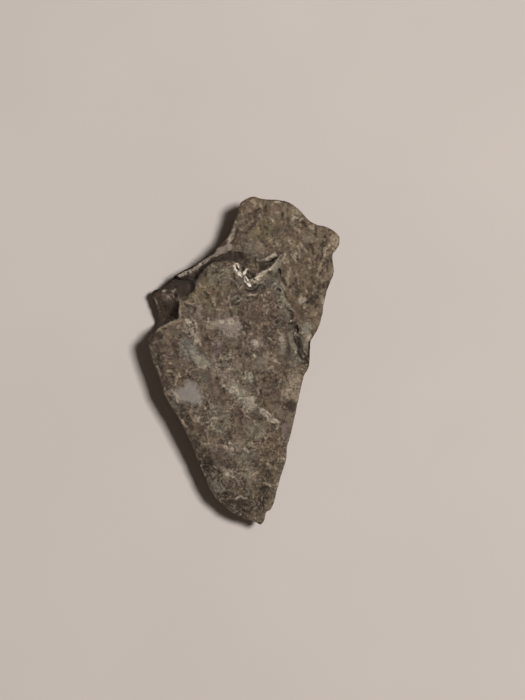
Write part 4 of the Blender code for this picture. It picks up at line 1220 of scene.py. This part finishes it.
# Layers of the marks: mask = smooth step of depth + wobble over the family's softness; strength =
# strength * (1 - wear + wear * worn), with worn below 1 where the stone is worn
def markLayers(tree, place, worn, group):
    looks = markLooks[group]
    noise = noiseNode(tree, place, *weathered["markNoise"])
    wobble = mathNode(tree, "MULTIPLY", mathNode(tree, "SUBTRACT", noise, 0.5), weathered["markWobble"])
    depths = {}
    for name, members in markSets.items():
        if set(members) & set(looks):
            depths.update(zip(members, readThree(tree, name)))
    layers = {}
    for family, (tone, strength, share, soft, wear) in looks.items():
        depth = mathNode(tree, "ADD", depths[family], mathNode(tree, "MULTIPLY", wobble, share))
        mask = stepNode(tree, depth, -soft, soft) if soft else stepNode(tree, depths[family], 0.0, 1.0)
        kept = mathNode(tree, "MULTIPLY_ADD", worn, strength * wear)
        kept.node.inputs[2].default_value = strength * (1 - wear)
        layers[family] = (mask, kept, linear(tone, weathered["gain"]))
    return layers


# Ground colours, fragments and threads: each mixed over the last by mask * strength. The marks under the
# fragments are laid after the biggest ones. Also gives the cells that were found, by size
def brecciaBody(tree, place, worn, head, groups, colour):
    v = weathered
    base = mixColours(tree, patchNode(tree, place, v["patches"]["grey"]), colour["brown"], colour["grey"])
    headPatches = patchNode(tree, place, v["patches"]["headPale"])
    headTone = mixColours(tree, headPatches, colour["headBrown"], colour["headPale"])
    base = mixColours(tree, head, base, headTone)
    found = {}
    for name, (shift, scale, share, soft, strength) in v["fragments"].items():
        inputs = {"Place": movedPlace(tree, place, shift), "Scale": scale, "Share": share, "Soft": soft}
        cells = found[name] = useGroup(tree, groups["fragments"], inputs)
        tone = stepNode(tree, cells["Tone"], *v["toneSpread"])
        tone = mixColours(tree, tone, colour["fragmentDark"], colour["fragmentPale"])
        hue = stepNode(tree, cells["Hue"], *v["hueSpread"])
        hue = mixColours(tree, hue, colour["fragmentRosy"], colour["fragmentGreen"])
        base = layOver(tree, base, [(cells["Mask"], strength, mixColours(tree, v["hueShare"], tone, hue))])
        if name == "big":
            base = layOver(tree, base, markLayers(tree, place, worn, "underFragments").values())
    edges = mathNode(tree, "MAXIMUM", found["big"]["Edge"], found["middle"]["Edge"])
    cracks = mathNode(tree, "MULTIPLY", edges, patchNode(tree, place, v["patches"]["cracked"]))
    threads = [(cracks, v["crackStrength"], colour["curlDark"])]
    for shift, scale, width, strength, tone in v["curls"]:
        inputs = {"Place": movedPlace(tree, place, shift), "Scale": scale, "Width": width}
        inputs["Cover"] = v["curlCover"]
        threads.append((useGroup(tree, groups["curls"], inputs)["Mask"], strength, colour[tone]))
    base = layOver(tree, base, threads)
    return layOver(tree, base, markLayers(tree, place, worn, "crumbs").values()), found


# How dark each spot is: step of relief * (cells + step of grain, mixed towards one value where it is calm)
# The step of relief is painted shade in dents and creases and painted light on bumps
def fineShading(tree, place, relief, head, pale, found, grain):
    v = weathered
    shade = stepNode(tree, grain, *v["grainShade"])
    small = mathNode(tree, "MULTIPLY", found["small"]["Hue"], v["cellShade"]["small"])
    tiny = mathNode(tree, "MULTIPLY", found["tiny"]["Tone"], v["cellShade"]["tiny"])
    shade = mathNode(tree, "ADD", mathNode(tree, "ADD", small, tiny), shade)
    calm = patchNode(tree, place, v["patches"]["calm"])
    calm = mathNode(tree, "MAXIMUM", calm, mathNode(tree, "MULTIPLY", pale, v["paleCalm"]))
    calm = mathNode(tree, "MAXIMUM", calm, mathNode(tree, "MULTIPLY", head, v["headCalm"]))
    shade = mixNumbers(tree, calm, shade, v["calmShade"])
    return mathNode(tree, "MULTIPLY", stepNode(tree, relief, *v["reliefShade"]), shade)


# Weathered stone: body, then wall and broken tones, marks, fine shading and the marks that it leaves alone
def weatheredBreccia(groups):
    v = weathered
    colour = tonesOf(v)
    material, tree, shader, place = newMaterial("weathered breccia")
    broken, head, wall = readThree(tree, "zones")
    relief = addNode(tree, "ShaderNodeAttribute", attribute_name="relief").outputs["Fac"]
    worn = patchNode(tree, place, v["patches"]["worn"])
    base, found = brecciaBody(tree, place, worn, head, groups, colour)

    wallPatches = patchNode(tree, place, v["patches"]["wall"])
    wallTone = mixColours(tree, wallPatches, colour["wallDark"], colour["wall"])
    base = layOver(tree, base, [(wall, v["wallCover"], wallTone)])
    brokenPatches = patchNode(tree, place, v["patches"]["broken"])
    brokenTone = mixColours(tree, brokenPatches, colour["broken"], colour["wallDark"])
    base = layOver(tree, base, [(broken, v["brokenCover"], brokenTone)])
    marks = markLayers(tree, place, worn, "overAll")
    base = layOver(tree, base, [layer for family, layer in marks.items() if family not in unshaded])

    grain = useGroup(tree, groups["grain"], {"Place": place, **v["grain"]})["Height"]
    milky, blush, glint = (marks[family][0] for family in ("milky", "blush", "glint"))
    pale = mathNode(tree, "MAXIMUM", milky, mathNode(tree, "MULTIPLY", blush, v["blushCalm"]))
    shade = fineShading(tree, place, relief, head, pale, found, grain)
    base = mixColours(tree, 1.0, base, shade, "MULTIPLY")
    base = layOver(tree, base, [(marks[family][0], 1.0, marks[family][2]) for family in unshaded])

    middle = mathNode(tree, "MULTIPLY", found["middle"]["Hue"], v["cellBump"]["middle"])
    small = mathNode(tree, "MULTIPLY", found["small"]["Tone"], v["cellBump"]["small"])
    height = mathNode(tree, "ADD", mathNode(tree, "ADD", grain, middle), small)
    flat = mathNode(tree, "SUBTRACT", 1.0, mathNode(tree, "MULTIPLY", pale, v["paleFlat"]))
    height = mathNode(tree, "MULTIPLY", height, flat)
    feedShader(tree, shader, base, height, mathNode(tree, "MAXIMUM", milky, glint), v)
    shader.inputs["Specular IOR Level"].default_value = v["gloss"]
    return material


sawn = {
    "gain": 1.1,
    "colours": {
        "matrix": (98, 92, 84), "matrixPale": (122, 116, 106), "clastDark": (74, 68, 62),
        "clastPale": (182, 176, 164), "speck": (205, 200, 190),
    },
    "matrixPatches": ((0.6, 4.0, 0.6), (0.4, 0.6)),
    # Cells per millimetre, share that shows, softness of the edge, strength
    "clasts": [(0.55, 0.3, 0.07, 0.85), (1.3, 0.34, 0.07, 0.8), (3.2, 0.3, 0.1, 0.7)],
    "toneSpread": (0.2, 0.75),
    "specks": {"Scale": 2.4, "Width": 0.012, "Cover": 0.6},
    "speckStrength": 0.6,
    "grain": {"Fine": 12.0, "Coarse": 5.0, "Coarse Share": 0.4},
    "grainShade": (0.3, 0.7, 0.86, 1.1),
    "grainBump": 0.8,
    "roughness": (0.5, 0.38),
    "bump": 0.000012,  # metres
    "sawWave": {"Scale": 1.5625, "Distortion": 1.2, "Detail": 3.0, "Detail Scale": 0.3},
}


# Sawn stone: matrix, then clasts of three sizes and specks, each mixed over the last, * step of grain. Its
# bump is saw waves + share * grain
def sawnBreccia(groups):
    v = sawn
    colour = tonesOf(v)
    material, tree, shader, place = newMaterial("sawn breccia")
    patches = patchNode(tree, place, v["matrixPatches"])
    base = mixColours(tree, patches, colour["matrix"], colour["matrixPale"])
    for scale, share, soft, strength in v["clasts"]:
        inputs = {"Place": place, "Scale": scale, "Share": share, "Soft": soft}
        found = useGroup(tree, groups["fragments"], inputs)
        tone = stepNode(tree, found["Tone"], *v["toneSpread"])
        tone = mixColours(tree, tone, colour["clastDark"], colour["clastPale"])
        base = layOver(tree, base, [(found["Mask"], strength, tone)])
    specks = useGroup(tree, groups["curls"], {"Place": place, **v["specks"]})
    base = layOver(tree, base, [(specks["Mask"], v["speckStrength"], colour["speck"])])
    grain = useGroup(tree, groups["grain"], {"Place": place, **v["grain"]})["Height"]
    base = mixColours(tree, 1.0, base, stepNode(tree, grain, *v["grainShade"]), "MULTIPLY")
    waves = {"Vector": place, **v["sawWave"]}
    saw = addNode(tree, "ShaderNodeTexWave", waves, bands_direction="DIAGONAL").outputs["Fac"]
    height = mathNode(tree, "ADD", saw, mathNode(tree, "MULTIPLY", grain, v["grainBump"]))
    feedShader(tree, shader, base, height, grain, v)
    return material


# 1 at the rim, where the outline shows, and 0 away from it: start - distance from the rim / width, clamped
def rimShare(s, t, h, values):
    onTop = np.minimum(np.minimum(s, 1 - s), np.minimum(t, 1 - t)) * values["rimAcross"]
    return np.clip(values["rimStart"] - np.where(h < 1, 1 - h, onTop) / values["rimWidth"], 0, 1)


# The stone: surface points + normal * fine relief, its marks as attributes and its two materials
def makeStone():
    s, t, h, quads, sawnFace = boxSkin(*stoneForm["cells"])
    points, broken, onHead = stonePoints(stoneForm, s, t, h)
    onWall = (h < 1).astype(float)
    normals = normalsOf(points, quads)
    upper = points[:, 2] / np.maximum(h, markShape["leastShare"])  # level of the wall's upper end
    levels = np.where(h < 1, upper, points[:, 2])
    fields = markFields(points, levels)
    v = fineRelief
    smoothClasts = np.maximum(fields["milky"], v["blushCalm"] * fields["blush"])
    calm = np.clip(0.5 + smoothClasts / v["calmSoft"], 0, 1)
    relief = fineHeight(points, onWall, rimShare(s, t, h, v), v)
    relief *= (1 - v["calmed"] * calm) * (1 - v["brokenCalmed"] * broken)
    for family, height in crumbs["heights"].items():
        relief += height * np.clip(fields[family], 0, 1) * (1 - onWall) * (1 - calm)
    relief[h == 0] = 0
    points = points + normals * relief[:, None]
    points[h == 0, 2] = 0
    fields.update(broken=broken, head=onHead, wall=onWall)
    mesh = meshFrom("stone", points, quads, sawnFace)
    for name, members in markSets.items():
        layer = mesh.attributes.new(name, "FLOAT_VECTOR", "POINT")
        layer.data.foreach_set("vector", np.column_stack([fields[f] for f in members]).ravel())
    mesh.attributes.new("relief", "FLOAT", "POINT").data.foreach_set("value", relief)
    groups = {"fragments": fragmentsGroup(), "curls": curlsGroup(), "grain": grainGroup()}
    mesh.materials.append(weatheredBreccia(groups))
    mesh.materials.append(sawnBreccia(groups))
    slots = np.zeros(len(mesh.polygons), int)
    slots[-1] = 1
    mesh.polygons.foreach_set("material_index", slots)
    mesh.polygons.foreach_set("use_smooth", np.ones(len(slots), bool))
    mesh.set_sharp_from_angle(angle=math.radians(stoneForm["sharpAngle"]))
    stone = bpy.data.objects.new("weathered_stone", mesh)
    bpy.context.scene.collection.objects.link(stone)
    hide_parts("stone")
    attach(stone, "root")
    print("stage 2: stone made,", len(mesh.polygons), "faces")


# One flat square with a faintly patchy tone
def makeFloor():
    half = studio["floorSize"] * mm / 2
    mesh = bpy.data.meshes.new("floor")
    corners = [(-half, -half, 0), (half, -half, 0), (half, half, 0), (-half, half, 0)]
    mesh.from_pydata(corners, [], [(0, 1, 2, 3)])
    material, tree, shader, place = newMaterial("plain pale floor")
    tone = linear(studio["floorColour"])
    soft = patchNode(tree, place, studio["floorPatches"])
    tree.links.new(mixColours(tree, 1.0, tone, soft, "MULTIPLY"), shader.inputs["Base Color"])
    shader.inputs["Roughness"].default_value = studio["floorRoughness"]
    shader.inputs["Specular IOR Level"].default_value = studio["floorGloss"]
    mesh.materials.append(material)
    floor = bpy.data.objects.new("floor", mesh)
    bpy.context.scene.collection.objects.link(floor)


# Key light at distance * (plan * cos rise, sin rise), turned to face the stone, and an even fill
def makeLights():
    rise = math.radians(studio["keyRise"])
    plan = np.array(studio["keyFrom"]) / np.hypot(*studio["keyFrom"])
    towards = np.array([*(plan * math.cos(rise)), math.sin(rise)])
    light = bpy.data.lights.new("key light", "AREA")
    light.size = studio["keySize"] * mm
    light.energy = studio["keyPower"]
    light.color = studio["keyColour"]
    key = bpy.data.objects.new("key light", light)
    key.location = towards * studio["keyDistance"] * mm
    key.rotation_euler = (0, math.radians(90) - rise, math.atan2(towards[1], towards[0]))
    bpy.context.scene.collection.objects.link(key)
    world = bpy.data.worlds.new("soft fill")
    world.use_nodes = True
    background = world.node_tree.nodes["Background"]
    background.inputs["Color"].default_value = (*studio["fillColour"], 1)
    background.inputs["Strength"].default_value = studio["fill"]
    tree = world.node_tree
    seen = addNode(tree, "ShaderNodeBackground", {"Color": (*studio["seenAround"], 1)})
    path = addNode(tree, "ShaderNodeLightPath")
    inputs = {0: path.outputs["Is Camera Ray"], 1: background.outputs[0], 2: seen.outputs[0]}
    both = addNode(tree, "ShaderNodeMixShader", inputs)
    tree.links.new(both.outputs[0], tree.nodes["World Output"].inputs["Surface"])
    bpy.context.scene.world = world
    bpy.context.scene.view_settings.view_transform = "Standard"


# Lens length = sensor * height / length of floor seen
def makeCamera():
    camera = bpy.data.cameras.new("camera")
    camera.sensor_width = view["sensor"]
    camera.lens = view["sensor"] * view["height"] / view["frameLength"]
    camera.clip_start = view["clipStart"] * mm
    shot = bpy.data.objects.new("camera", camera)
    shot.location = (view["centre"][0] * mm, view["centre"][1] * mm, view["height"] * mm)
    bpy.context.scene.collection.objects.link(shot)
    bpy.context.scene.camera = shot


makeStone()
makeFloor()
makeLights()
makeCamera()
print("stage 3: floor, lights and camera made")
